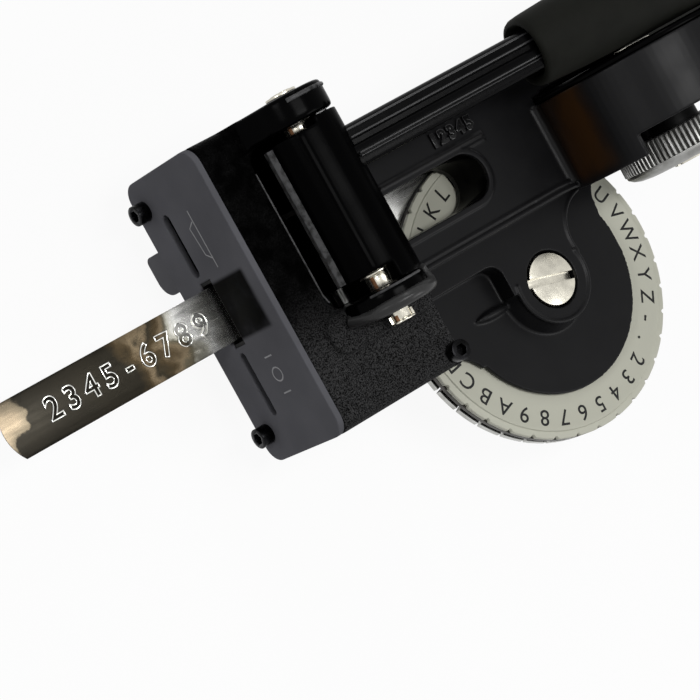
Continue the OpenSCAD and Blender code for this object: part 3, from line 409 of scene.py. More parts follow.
PLATE_PAINT = plate_paint()
HIGHLIGHT_METAL = metal("painted_highlight_metal", (0.62, 0.62, 0.58), (0.88, 0.88, 0.85), 0.22, 0.04, 0.2)
SATIN_NICKEL = metal("satin_nickel", (0.20, 0.20, 0.19), (0.30, 0.30, 0.29), 0.42, 0.06, 0.3)
# near-black gloss: the ears' and reel cover's finish, and painted shade on the window's wall, in the head's well
# and over the dial's middle
GLOSS_BLACK_AND_SHADE = painted("gloss_black_and_painted_shade", (0.0006, 0.0006, 0.0007), 0.2, 0.03, 2.0, 0.012, 1.08)
ARM_PAINT = painted("arm_paint", (0.0016, 0.0016, 0.0018), 0.22, 0.03, 2.0, 0.012, 1.1)
HIGHLIGHT_BEAD_PAINT = painted("painted_highlight_bead", (0.018, 0.018, 0.019), 0.26, 0.05, 1.0, 0.012, 1.3)
ROLL_HIGHLIGHT_PAINT = painted("painted_highlight_roll", (0.034, 0.034, 0.034), 0.3, 0.05, 1.0, 0.012, 1.25)
GLOSS_INK = painted("gloss_ink", (0.004, 0.004, 0.0042), 0.2, 0.03, 0.5, 0.006, 1.4)
BROWN_REFLECTION_METAL = metal("painted_brown_reflection", (0.06, 0.03, 0.015), (0.20, 0.10, 0.05), 0.3, 0.08, 0.3)
SLOT_OF = {part["node"]: part["material_slot"] for part in frame["record"]["subparts"]}


def paint(obj, material):
    """Gives the whole object one material."""
    obj.data.materials.clear()
    obj.data.materials.append(material)
    return obj


def paint_where(obj, material, inside):
    """Gives a second material to the faces whose middle, in millimetres, lies inside."""
    obj.data.materials.append(material)
    last = len(obj.data.materials) - 1
    for face in obj.data.polygons:
        if inside(face.center/MM):
            face.material_index = last


for node_name, node_object in frame["nodes"].items():
    paint(node_object, MATERIALS[SLOT_OF[node_name]])


# ---------------------------------------------------------------- building pieces
def linked(name, data):
    """A new object in the scene."""
    obj = bpy.data.objects.new(name, data)
    bpy.context.scene.collection.objects.link(obj)
    return obj


def settled(obj, body, slot, *replaced):
    """Makes the object a piece of a body, with the slot's material."""
    paint(obj, MATERIALS[slot])
    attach(obj, body)
    if replaced:
        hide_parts(*replaced)
    return obj


def piece(name, mesh, body, slot, *replaced):
    """Adds a mesh, whose points are in metres in the row frame, as a piece of a body."""
    return settled(linked(name, mesh), body, slot, *replaced)


def apply_all(obj):
    """Replaces the object's mesh by what its modifiers make of it."""
    graph = bpy.context.evaluated_depsgraph_get()
    mesh = bpy.data.meshes.new_from_object(obj.evaluated_get(graph))
    obj.modifiers.clear()
    old = obj.data
    obj.data = mesh
    bpy.data.meshes.remove(old)


def shade(mesh, sharp_deg=None):
    """Smooth shading, broken at edges sharper than the angle, where one is given."""
    mesh.polygons.foreach_set("use_smooth", [True]*len(mesh.polygons))
    if sharp_deg is not None:
        mesh.set_sharp_from_angle(angle=math.radians(sharp_deg))


def mesh_of(made, name, sharp_deg):
    """The mesh of a bmesh, which is freed."""
    mesh = bpy.data.meshes.new(name)
    made.to_mesh(mesh)
    made.free()
    shade(mesh, sharp_deg)
    return mesh


def cast_copy(name, node, voxel, rounds, keep, body, slot, extras=(), cuts=(), beyond=None, softer=None):
    """A casting: the node's own shape with cuts and added pieces, all softened together.
    voxel is the fineness in millimetres, and keep is the share of faces kept.
    beyond is a place and a direction, and what lies beyond them is left out.
    softer is a height in millimetres and the further rounds of smoothing above it."""
    whole = bmesh.new()
    whole.from_mesh(frame["nodes"][node].data)
    bmesh.ops.remove_doubles(whole, verts=whole.verts, dist=0.000005)
    if beyond:
        place, way = beyond
        cut = bmesh.ops.bisect_plane(whole, geom=whole.verts[:] + whole.edges[:] + whole.faces[:],
                                     plane_co=Vector(place)*MM, plane_no=way, clear_outer=True)
        rim = [e for e in cut["geom_cut"] if isinstance(e, bmesh.types.BMEdge)]
        bmesh.ops.holes_fill(whole, edges=rim)
    mesh = bpy.data.meshes.new(name)
    whole.to_mesh(mesh)
    whole.free()
    obj = linked(name, mesh)
    for cutter_mesh in cuts:
        cutter = linked("cutter", cutter_mesh)
        cut = obj.modifiers.new("cut", "BOOLEAN")
        cut.operation = "DIFFERENCE"
        cut.solver = "EXACT"
        cut.object = cutter
        apply_all(obj)
        bpy.data.objects.remove(cutter)
    if extras:
        obj.data = merged([obj.data] + list(extras))
    remesh = obj.modifiers.new("remesh", "REMESH")
    remesh.mode = "VOXEL"
    remesh.voxel_size = voxel*MM
    smooth = obj.modifiers.new("smooth", "SMOOTH")
    smooth.factor = 0.5
    smooth.iterations = rounds
    if softer:
        apply_all(obj)
        group = obj.vertex_groups.new(name="soft")
        group.add([v.index for v in obj.data.vertices if v.co.z > softer[0]*MM], 1, "REPLACE")
        more = obj.modifiers.new("more", "SMOOTH")
        more.factor = 0.5
        more.iterations = softer[1]
        more.vertex_group = "soft"
    fewer = obj.modifiers.new("fewer", "DECIMATE")
    fewer.ratio = keep
    apply_all(obj)
    shade(obj.data)
    return settled(obj, body, slot, node)


# ---------------------------------------------------------------- shapes
def lathe(profile, at, axis="Z", steps=128, bulge=None):
    """Turns (radius, height) points, in millimetres, about an axis through at.
    bulge(angle, r, h) changes the radius."""
    turned = bmesh.new()
    rings = []
    for i in range(steps):
        angle = 2*math.pi*i/steps
        ring = []
        for r, h in profile:
            if bulge:
                r = bulge(angle, r, h)
            a, b = r*math.cos(angle), r*math.sin(angle)
            spot = {"Z": (a, b, h), "Y": (b, h, a), "X": (h, a, b)}[axis]
            ring.append(turned.verts.new((Vector(at) + Vector(spot))*MM))
        rings.append(ring)
    for i in range(steps):
        here, there = rings[i], rings[(i + 1) % steps]
        for k in range(len(profile)):
            n = (k + 1) % len(profile)
            turned.faces.new((here[k], there[k], there[n], here[n]))
    bmesh.ops.remove_doubles(turned, verts=turned.verts, dist=0.000002)
    bmesh.ops.recalc_face_normals(turned, faces=turned.faces)
    return mesh_of(turned, "turned", 35)


def skin(made, rings):
    """Faces between rings of as many points each, and over both ends."""
    for here, there in zip(rings, rings[1:]):
        for k in range(len(here)):
            n = (k + 1) % len(here)
            made.faces.new((here[k], here[n], there[n], there[k]))
    made.faces.new(rings[0][::-1])
    made.faces.new(rings[-1])
    bmesh.ops.recalc_face_normals(made, faces=made.faces)


def tube(points, radius, sides=10, flat=1.0, up=(0, 0, 1)):
    """A round or flattened bar along points, in millimetres. radius may be a function of the way along it,
    from 0 to 1. flat is its height over its width."""
    path = [Vector(p) for p in points]
    made = bmesh.new()
    rings = []
    last = len(path) - 1
    for i, p in enumerate(path):
        along = (path[min(i + 1, last)] - path[max(i - 1, 0)]).normalized()
        side = along.cross(Vector(up)).normalized()
        over = side.cross(along)
        r = radius(i/last) if callable(radius) else radius
        rings.append([made.verts.new((p + side*r*math.cos(t) + over*r*flat*math.sin(t))*MM)
                      for t in [2*math.pi*k/sides for k in range(sides)]])
    skin(made, rings)
    return mesh_of(made, "tube", 60)


def arc(centre, radius, start, end, steps=12):
    """Points of an arc in the plane, angles in degrees."""
    turn = [math.radians(start + (end - start)*i/steps) for i in range(steps + 1)]
    return [(centre[0] + radius*math.cos(t), centre[1] + radius*math.sin(t)) for t in turn]


def merged(meshes):
    """One mesh of several."""
    whole = bmesh.new()
    for mesh in meshes:
        whole.from_mesh(mesh)
    return mesh_of(whole, "merged", 40)


def mesh_of_curve(curve):
    """The mesh that a curve makes. The curve is removed."""
    obj = linked(curve.name, curve)
    mesh = bpy.data.meshes.new_from_object(obj.evaluated_get(bpy.context.evaluated_depsgraph_get()))
    bpy.data.objects.remove(obj)
    bpy.data.curves.remove(curve)
    return mesh


def slab(outline, holes, depth, bevel, place):
    """A plate: outline and holes are lists of flat points, and place(u, v, w) puts them in space.
    All are in millimetres."""
    curve = bpy.data.curves.new("slab", "CURVE")
    curve.dimensions = "2D"
    curve.fill_mode = "BOTH"
    for loop in [outline] + holes:
        spline = curve.splines.new("POLY")
        spline.points.add(len(loop) - 1)
        for point, (u, v) in zip(spline.points, loop):
            point.co = (u, v, 0, 1)
        spline.use_cyclic_u = True
    curve.extrude = depth/2 - bevel
    curve.bevel_depth = bevel
    curve.bevel_resolution = 3
    curve.offset = -bevel
    mesh = mesh_of_curve(curve)
    for vertex in mesh.vertices:
        vertex.co = Vector(place(*vertex.co))*MM
    fix = bmesh.new()
    fix.from_mesh(mesh)
    bmesh.ops.remove_doubles(fix, verts=fix.verts, dist=0.000002)
    bmesh.ops.recalc_face_normals(fix, faces=fix.faces)
    fix.to_mesh(mesh)
    fix.free()
    shade(mesh, 30)
    return mesh


def character(text, size):
    """The curve of one character, centred."""
    curve = bpy.data.curves.new("character", "FONT")
    curve.body = text
    curve.size = size
    curve.bevel_resolution = 2
    curve.resolution_u = 6
    curve.align_x = "CENTER"
    return curve


def letter(text, size, depth, bevel, thin):
    """The mesh of one character, in millimetres, centred, standing on its own plane."""
    curve = character(text, size)
    curve.extrude = depth/2
    curve.bevel_depth = bevel
    curve.offset = thin
    return mesh_of_curve(curve)


def outlined(text, size, wire, grow):
    """The edges of one character as thin round ridges, in millimetres."""
    curve = character(text, size)
    curve.fill_mode = "NONE"
    curve.offset = grow
    curve.bevel_depth = wire
    return mesh_of_curve(curve)


def placed(mesh, matrix):
    """A copy of a mesh in millimetres, moved by matrix and turned into metres."""
    copy = mesh.copy()
    copy.transform(Matrix.Scale(MM, 4) @ matrix)
    return copy


def bevelled_copy(name, node, width, slot, body, segments=2):
    """A CAD node with its sharp edges rounded."""
    mesh = frame["nodes"][node].data.copy()
    fix = bmesh.new()
    fix.from_mesh(mesh)
    bmesh.ops.remove_doubles(fix, verts=fix.verts, dist=0.000005)
    bmesh.ops.dissolve_limit(fix, angle_limit=math.radians(1.5), verts=fix.verts, edges=fix.edges)
    fix.to_mesh(mesh)
    fix.free()
    obj = linked(name, mesh)
    bevel = obj.modifiers.new("bevel", "BEVEL")
    bevel.width = width*MM
    bevel.segments = segments
    bevel.limit_method = "ANGLE"
    bevel.angle_limit = math.radians(35)
    bevel.use_clamp_overlap = True
    apply_all(obj)
    shade(obj.data, 30)
    return settled(obj, body, slot, node)


def loft(sections, sharp=35):
    """A skin over rings of points in millimetres, each with as many points."""
    made = bmesh.new()
    rings = [[made.verts.new(Vector(p)*MM) for p in ring] for ring in sections]
    skin(made, rings)
    return mesh_of(made, "loft", sharp)


def round_box(width, height, corner, steps=10):
    """Points of a rectangle with round corners, about its middle."""
    points = []
    for i, (a, b) in enumerate(((1, 1), (-1, 1), (-1, -1), (1, -1))):
        points += arc((a*(width/2 - corner), b*(height/2 - corner)), corner, 90*i, 90*i + 90, steps)
    return points


def box_mesh(lowest, highest):
    """A plain box between two corners in millimetres, to cut with."""
    (x0, y0, z0), (x1, y1, z1) = lowest, highest
    return loft([[(x, y0, z0), (x, y1, z0), (x, y1, z1), (x, y0, z1)] for x in (x0, x1)])


# ---------------------------------------------------------------- the dial
CHARACTERS = "UVWXYZ-.23456789ABCDEFGHIJKLMNOPQRST"
FIRST_DEG = 20
STEP_DEG = 360/len(CHARACTERS)
LETTER_R = DIAL_R - 4.6
SHADED_HUB_R = DIAL_R - 10.5       # the dial is painted black inside this radius: painted shade under the cover and deck
NOTCH_HALF, NOTCH_DEPTH = 0.62, 0.55


def make_dial():
    rim, lip_r, under = DIAL_R, DIAL_R - 1.9, low("letter_dial").z
    bore = abs(low("dial_hub").x)

    def notch(angle, r, _):
        place = (math.degrees(angle) - FIRST_DEG - STEP_DEG/2) % STEP_DEG
        off = min(place, STEP_DEG - place)*math.radians(1)*DIAL_R
        if r > lip_r + 0.9 and off < NOTCH_HALF:
            return r - NOTCH_DEPTH*(1 - (off/NOTCH_HALF)**2)
        return r

    profile = [(bore, DIAL_Z - 0.15), (SHADED_HUB_R, DIAL_Z - 0.12), (lip_r - 0.75, DIAL_Z - 0.12),
               (lip_r - 0.5, DIAL_Z), (lip_r + 0.15, DIAL_Z), (lip_r + 0.35, DIAL_Z - 0.35),
               (rim - 0.75, DIAL_Z - 0.42), (rim - 0.15, DIAL_Z - 0.5), (rim, DIAL_Z - 0.7),
               (rim, under + 0.2), (rim - 0.2, under), (bore, under)]
    turned = lathe(profile, (0, 0, 0), "Z", 720, notch)
    ring = piece("dial_ring", turned, "dial", "dial_enamel", "letter_dial")
    # painted shade: the dial's middle is black, where the cover and the deck shade it
    paint_where(ring, GLOSS_BLACK_AND_SHADE, lambda c: math.hypot(c.x, c.y) < SHADED_HUB_R)
    inked = []
    for i, text in enumerate(CHARACTERS):
        turn = Matrix.Rotation(math.radians(FIRST_DEG - i*STEP_DEG), 4, "Z")
        place = Matrix.Translation((LETTER_R - 1.8, 0, DIAL_Z - 0.115))
        stand = turn @ place @ Matrix.Rotation(-math.pi/2, 4, "Z")
        inked.append(placed(letter(text, 5.2, 0.03, 0.03, 0.0), stand))
    paint(piece("dial_characters", merged(inked), "dial", "dial_enamel"), BLACK_INK)


make_dial()
bevelled_copy("die_fingers", "lower_die_disc", 0.08, "bright_steel", "dial", 1)

# ---------------------------------------------------------------- castings
DECK_Z = DIAL_Z + 14
LAND_Z = DIAL_Z + 6.8
COVER_Z = DIAL_Z + 1.6
BOSS_R = 9.8
EAR_R = 8.7                    # radius of the ears' round tops
INDEX_FIGURES = "12345"        # plain raised numbers beside the window
INDEX_PITCH, INDEX_SIZE = 2.63, 4.2


def leaf(x0, x1, y0, y1, half, z, height):
    """A low pointed ridge, widest a third of the way from its inner end."""
    rings = []
    for i in range(17):
        t = i/16
        wide = half*math.sin(math.pi*t**0.75)**0.9 + 0.02
        tall = height*(0.25 + 0.75*math.sin(math.pi*t**0.75))
        x, y = x0 + (x1 - x0)*t, y0 + (y1 - y0)*t
        half_turn = [math.pi*k/10 for k in range(11)]
        rings.append([(x, y + wide*math.cos(a), z - 0.4 + (tall + 0.4)*math.sin(a)) for a in half_turn])
    return loft(rings)


def make_frame_casting():
    """The main casting with its beads, fillet and leaf, painted shade on the window's wall, and the figures beside
    the window, edged with painted highlights.
    """
    edge = [(FRONT_X + 36, 16.15, DECK_Z - 0.15), (-20, 16.15, DECK_Z - 0.15), (8, 16.1, DECK_Z - 0.15),
            (12, 15.9, DECK_Z - 0.1), (15.5, 15.3, DECK_Z), (18.5, 14.8, DECK_Z + 0.4)]
    inner = [(x, y + 1.35, z + 0.12) for x, y, z in edge[:-1]]
    boss = [math.radians(a) for a in range(-196, 22, 6)]
    ring = [(BOSS_R*math.cos(a), BOSS_R*math.sin(a), LAND_Z - 0.15) for a in boss]
    sweep = [(x, y, LAND_Z - 0.15) for x, y in arc((19.3, 5), 9.6, 196, 96, 14)]
    line = [(x, 36.1, DECK_Z + 0.1) for x in (FRONT_X + 40, -20, -3.2)]
    side_line = [(x, y - 1.2, z - 0.1) for x, y, z in line]
    corner = [(-11.2, 9.4)] + arc((-14.4, 6.2), 3.2, 90, 0, 6)
    fillet = loft([[(x, y, z) for x, y in corner] for z in (COVER_Z - 0.3, LAND_Z)])
    beads = [tube(way, r) for way, r in ((edge, 0.62), (inner, 0.45), (ring, 0.55), (sweep, 0.5), (line, 0.6),
                                         (side_line, 0.4))]
    beads += [fillet, leaf(-20.6, -7.6, 0, -0.4, 1.15, COVER_Z, 1.5)]
    body = cast_copy("body_casting", "main_frame", 0.26, 4, 0.4, "frame", "black_paint", beads)

    def shaded_window_wall(c):
        return FRONT_X + 36 < c.x < -5 and 19.5 < c.y < 35 and 1.9 < c.z - DIAL_Z < 13.4

    # painted shade: the window's deep inner wall is darkened to near-black
    paint_where(body, GLOSS_BLACK_AND_SHADE, shaded_window_wall)
    figures, highlight_rims = [], []
    for i, text in enumerate(INDEX_FIGURES):
        stand = Matrix.Translation((-15.7 + INDEX_PITCH*i, 38.2, DECK_Z + 0.05))
        figures.append(placed(letter(text, INDEX_SIZE, 0.75, 0.24, 0.12), stand))
        # painted highlights: thin lighter ridges round the figures' edges
        highlight_rims.append(placed(outlined(text, INDEX_SIZE, 0.1, 0.2), Matrix.Translation((0, 0, 0.5)) @ stand))
    paint(piece("index_figures", merged(figures), "frame", "black_paint"), GLOSS_INK)
    paint(piece("index_figure_highlights", merged(highlight_rims), "frame", "black_paint"), HIGHLIGHT_BEAD_PAINT)


def ear_line(y, start, end, out):
    """Points over an ear's round top, out millimetres from its surface."""
    return [(x, y, z) for x, z in arc((PIN.x, PIN.z), EAR_R + out, start, end, 16)]


def make_head_casting():
    """The punch head, with a cut back near ear and painted shade in its well, and its rim and the beads round ears
    and well lightened as painted highlights.
    """
    ear_side = EAR_Y0 - 4.5
    top = PIN.z + 12
    cuts = [box_mesh((PIN.x - 16, EAR_Y0 - 8, HEAD_TOP + 1.5), (PIN.x + 16, ear_side, top)),
            box_mesh((PIN.x - 18, EAR_Y0 - 8, HEAD_TOP + 1.5), (PIN.x - 9.2, EAR_Y0 + 1, top))]
    head = cast_copy("head_casting", "head_block", 0.3, 7, 0.5, "frame", "wrinkle_paint", cuts=cuts,
                     softer=(GLOSS_Z, 60))
    well_x0, well_x1 = PIN.x - 13, high("head_block").x - 0.5

    # the ears take the near-black gloss as their finish; the well takes it as painted shade
    def glossy_ears_and_shaded_well(c):
        across = EAR_Y0 - 0.4 < c.y < EAR_Y1 + 0.4
        shaded_well = across and well_x0 < c.x < well_x1 and DIAL_Z < c.z < HEAD_TOP - 0.25
        return c.z > GLOSS_Z or shaded_well

    paint_where(head, GLOSS_BLACK_AND_SHADE, glossy_ears_and_shaded_well)
    y = ear_side + 0.4
    near = [(PIN.x - 7.2, y + 2.4, HEAD_TOP + 1.9), (PIN.x - 8.6, y + 1.7, HEAD_TOP + 1.9),
            (PIN.x - 9.4, y + 0.7, HEAD_TOP + 2.2)]
    near += ear_line(y, 156, 44, 0.1)
    near += [(PIN.x + 7.8, y + 0.9, PIN.z + 4.2), (PIN.x + 8.2, y + 2.4, PIN.z + 3.2),
             (PIN.x + 7.6, y + 4.0, PIN.z + 4.0)]
    lip_x = low("front_plate").x + 11.75
    lip = [(lip_x + 0.6, EAR_Y0 + 2.5, HEAD_TOP), (lip_x, EAR_Y0 + 4.5, HEAD_TOP),
           (lip_x, EAR_Y1 - 5, HEAD_TOP)]
    # painted highlight: the roll round the near ear is a lighter grey
    roll = tube(near, lambda t: 1.5 - 0.6*abs(2*t - 1)**3, 16)
    paint(piece("ear_roll", roll, "frame", "wrinkle_paint"), ROLL_HIGHLIGHT_PAINT)
    # painted highlights: lighter beads along the ears' edges and the well's lip
    beads = [tube(lip, 0.22, 8), tube(ear_line(EAR_Y0 - 0.5, 150, 60, -0.1), 0.3, 8),
             tube(ear_line(EAR_Y1 + 5.0, 120, 25, -0.1), 0.5)]
    paint(piece("ear_highlight_beads", merged(beads), "frame", "wrinkle_paint"), HIGHLIGHT_EDGE_PAINT)


make_frame_casting()
make_head_casting()
cast_copy("base_shell", "base_casting", 0.5, 6, 0.4, "frame", "black_paint")
bevelled_copy("base_pad_moulded", "base_pad", 0.4, "rubber", "frame")
for screw in ("front_screws", "pad_screw", "base_screws"):
    bevelled_copy(screw + "_rounded", screw, 0.28, "black_screw", "frame")
bevelled_copy("axle_screw_head", "axle_screw", 0.18, "nickel", "frame")
bevelled_copy("exit_guide_moulded", "exit_guide", 0.12, "black_plastic", "frame")
paint(bevelled_copy("reel_cover", "magazine_cover", 0.9, "black_paint", "frame", 4), GLOSS_BLACK_AND_SHADE)
bevelled_copy("reel_nut", "spindle_nut", 0.2, "nickel", "frame")

# ---------------------------------------------------------------- front plate and its marks
SLOT_OUT, SLOT_LENGTH = 16.8, 15
TRIM_SLOT_H, PUNCH_SLOT_H = 2.8, 2.1
PUNCH_SLOT_UP = 0.4
PLATE_CORNER_R = 4


def slot_loop(y, z, width, height):
    """The outline of a slot with round ends."""
    return [(y + a, z + b) for a, b in round_box(width, height, height/2 - 0.01, 12)]


def make_front_plate():
    lo, hi = low("front_plate"), high("front_plate")
    width, height = hi.y - lo.y, hi.z - lo.z
    mid_y, mid_z = (lo.y + hi.y)/2, (lo.z + hi.z)/2
    outline = [(mid_y + a, mid_z + b) for a, b in round_box(width, height, PLATE_CORNER_R, 10)]
    exit_lo, exit_hi = low("exit_guide"), high("exit_guide")
    mouth = [(exit_lo.y, exit_lo.z), (exit_hi.y, exit_lo.z), (exit_hi.y, exit_hi.z), (exit_lo.y, exit_hi.z)]
    trim = slot_loop(TAPE_Y + SLOT_OUT, TAPE_Z, SLOT_LENGTH, TRIM_SLOT_H)
    punch = slot_loop(TAPE_Y - SLOT_OUT, TAPE_Z + PUNCH_SLOT_UP, SLOT_LENGTH, PUNCH_SLOT_H)
    thick = hi.x - lo.x
    mesh = slab(outline, [trim, punch, mouth], thick, 0.3, lambda u, v, w: (lo.x + thick/2 + w, u, v))
    paint(piece("front_plate_painted", mesh, "frame", "grey_paint", "front_plate"), PLATE_PAINT)


def stroke(points, width):
    """A thin painted line on the front plate through (y, z) points."""
    return tube([(FRONT_X - 0.02, y, z) for y, z in points], width/2, 8, flat=0.12, up=(1, 0, 0))


def make_marks():
    """A blade's outline over one slot, and a ring between two dashes over the other."""
    base = DIAL_Z + 6.1
    knife = [[(38.2, base), (51.7, base)],
             [(49.15, base - 0.4), (48.1, base - 2.6), (41.7, base - 2.0), (40.4, base)]]
    turn = [2*math.pi*k/28 for k in range(29)]
    ring = [(12.46 + 1.55*math.cos(a), base + 0.2 + 1.8*math.sin(a)) for a in turn]
    dashes = [[(y, base - 1.3), (y, base + 1.7)] for y in (16.7, 8.2)]
    marks = merged([stroke(line, 0.34) for line in knife + [ring] + dashes])
    paint(piece("slot_marks", marks, "frame", "grey_paint"), WHITE_INK)


make_front_plate()
make_marks()
bevelled_copy("mode_tab", "mode_selector", 0.35, "grey_paint", "selector", 3)

# ---------------------------------------------------------------- lever
PITCH = math.radians(12)
ARM_Y = TAPE_Y + 17.6
ARM_END = 62
BARREL_R = 8.8
STRIP_COS, STRIP_SIN = 0.838, 0.546      # lean of the painted highlight strip round the barrel


def lever_point(along, y, up):
    """A place on the lever at rest: along its arm, across, and up from the arm's middle."""
    x = PIN.x + along*math.cos(PITCH) - up*math.sin(PITCH)
    return (x, y, PIN.z + along*math.sin(PITCH) + up*math.cos(PITCH))


def strip_point(a, y, b):
    """A place round the barrel, in the painted highlight strip's own leaning directions."""
    return (PIN.x + a*STRIP_COS - b*STRIP_SIN, y, PIN.z + a*STRIP_SIN + b*STRIP_COS)


def arm_section():
    """The arm's own outline, as (across, up): a round flank, a bead, a flat band, a groove and a shoulder."""
    points = arc((-3.55, -4.8), 1.2, 180, 270, 5) + arc((3.55, -4.8), 1.2, 270, 360, 5)
    points += arc((1.4, 2.0), 3.35, 0, 72, 12)
    points += [(2.1, 5.45), (1.8, 5.6), (1.5, 5.45), (1.2, 5.15), (0.2, 5.1), (-0.1, 5.55), (-0.45, 5.82),
               (-1.1, 5.93), (-1.7, 5.95), (-1.95, 5.75), (-2.05, 5.0), (-2.35, 5.0), (-2.45, 5.75),
               (-2.7, 5.95), (-3.4, 6.0), (-4.1, 5.95), (-4.6, 5.6), (-4.75, 5.1)]
    return points


def make_lever():
    """The barrel with its painted highlight strip, and the arm with its ridges, lightened as painted highlights.
    """
    rib = ((-6.0, 1.3), (-8.8, 1.5), (-9.0, 3.2), (-8.3, 4.9), (-7.0, 5.4), (-5.2, 5.0))
    strip = loft([[strip_point(a, y, b) for a, b in rib] for y in (EAR_Y0 + 4.3, EAR_Y1 - 2.3)])
    thin = [strip_point(-0.5, y, 8.75) for y in (EAR_Y0 + 4.6, EAR_Y1 - 2.6)]
    round_top = [(BARREL_R, ARM_Y - 6.5), (20, ARM_Y - 6.5), (20, ARM_Y + 5), (BARREL_R, ARM_Y + 5)]
    around = lathe(round_top, (PIN.x, 0, PIN.z), "Y")
    body = cast_copy("lever_barrel", "lever", 0.25, 5, 0.6, "lever", "black_paint", [tube(thin, 0.3, 8)],
                     [around], beyond=(lever_point(14, ARM_Y, 0), (math.cos(PITCH), 0, math.sin(PITCH))))
    paint(body, LEVER_PAINT)
    # painted highlight: a lighter grey strip down the barrel's front
    paint(piece("barrel_highlight_strip", strip, "lever", "black_paint"), HIGHLIGHT_EDGE_PAINT)
    rings = [[lever_point(s, ARM_Y + a, b) for a, b in arm_section()] for s in (4, 20, 40, ARM_END)]
    arm = loft(rings, sharp=25)
    paint(piece("lever_arm", arm, "lever", "black_paint"), ARM_PAINT)
    # painted highlights: thin lighter ridges along the arm
    ridges = [tube([lever_point(s, ARM_Y + a, b) for s in (7.2, ARM_END - 4)], 0.24, 8) for a, b in
              ((3.6, 4.55), (1.8, 5.42), (-1.85, 5.75), (-2.65, 5.72))]
    paint(piece("arm_highlight_ridges", merged(ridges), "lever", "black_paint"), HIGHLIGHT_BEAD_PAINT)


def grip_skin(place, mouth, full, end, wide, tall, mouth_w, mouth_h):
    """A moulded rubber grip with a rolled mouth: place(along, across, up) puts it in space.
    It widens from its mouth until full, and stays wide and tall until its end."""
    flare = full - mouth
    rows = [(mouth + 3.5, mouth_w*0.7, mouth_h*0.8), (mouth + 0.7, mouth_w*0.79, mouth_h*0.83),
            (mouth + 0.1, mouth_w*0.86, mouth_h*0.88), (mouth, mouth_w*0.92, mouth_h*0.93),
            (mouth + 0.35, mouth_w*1.03, mouth_h*1.03), (mouth + 1.1, mouth_w*1.08, mouth_h*1.08),
            (mouth + 3, mouth_w*1.11, mouth_h*1.125)]
    w0, h0 = rows[-1][1], rows[-1][2]
    for t in (0.33, 0.66, 1.0):
        bend = math.sin(t*math.pi/2)
        rows.append((mouth + 3 + (flare - 3)*t, w0 + (wide - w0)*bend, h0 + (tall - h0)*bend))
    for s in (0.25, 0.5, 0.75):
        rows.append((full + (end - 7 - full)*s, wide, tall))
    rows += [(end - 6, wide, tall), (end - 2.2, wide*0.965, tall*0.932), (end - 0.7, wide*0.89, tall*0.85),
             (end, wide*0.62, tall*0.66)]
    sections = []
    for along, w, h in rows:
        sections.append([place(along, a, b) for a, b in round_box(w, h, min(w, h)/2 - 0.4, 10)])
    return loft(sections, sharp=60)


def make_grips():
    mesh = grip_skin(lambda s, a, b: lever_point(s, ARM_Y + a, b), mouth=54, full=82, end=195,
                     wide=18, tall=23, mouth_w=14.6, mouth_h=16)
    piece("lever_grip_moulded", mesh, "lever", "grip_rubber", "lever_grip")
    lo, hi = low("handle_grip"), high("handle_grip")
    centre_y, centre_z = (lo.y + hi.y)/2, (lo.z + hi.z)/2
    mesh = grip_skin(lambda s, a, b: (s, centre_y + a, centre_z + b), mouth=lo.x, full=lo.x + 20, end=hi.x,
                     wide=hi.y - lo.y, tall=hi.z - lo.z, mouth_w=15, mouth_h=19)
    piece("handle_grip_moulded", mesh, "frame", "grip_rubber", "handle_grip")


make_lever()
make_grips()


# ---------------------------------------------------------------- pivot
def ring_piece(name, rings, replaced):
    """Turned rings round the pin. Each ring is (radius, bore, from y, to y, rounding)."""
    meshes = []
    for r, bore, y0, y1, soft in rings:
        flat = r - soft
        profile = [(bore, y0), (flat, y0)]
        profile += [(flat + soft*math.sin(a), y0 + soft - soft*math.cos(a)) for a in (0.8, 1.57)]
        profile += [(flat + soft*math.cos(a), y1 - soft + soft*math.sin(a)) for a in (0.0, 0.8)]
        profile += [(flat, y1), (bore, y1)]
        meshes.append(lathe(profile, (PIN.x, 0, PIN.z), "Y", 96))
    return piece(name, merged(meshes), "frame", "nickel", replaced)


def bush_reflection_line(y0, y1, r, deg, wide):
    """A thin brown strip along a bush: a painted reflection."""
    ends = []
    for y in (y0, y1):
        outer = arc((0, 0), r + 0.03, deg - wide, deg + wide, 6)
        inner = arc((0, 0), r - 0.4, deg + wide, deg - wide, 6)
        ends.append([(PIN.x + a, y, PIN.z + b) for a, b in outer + inner])
    return loft(ends)


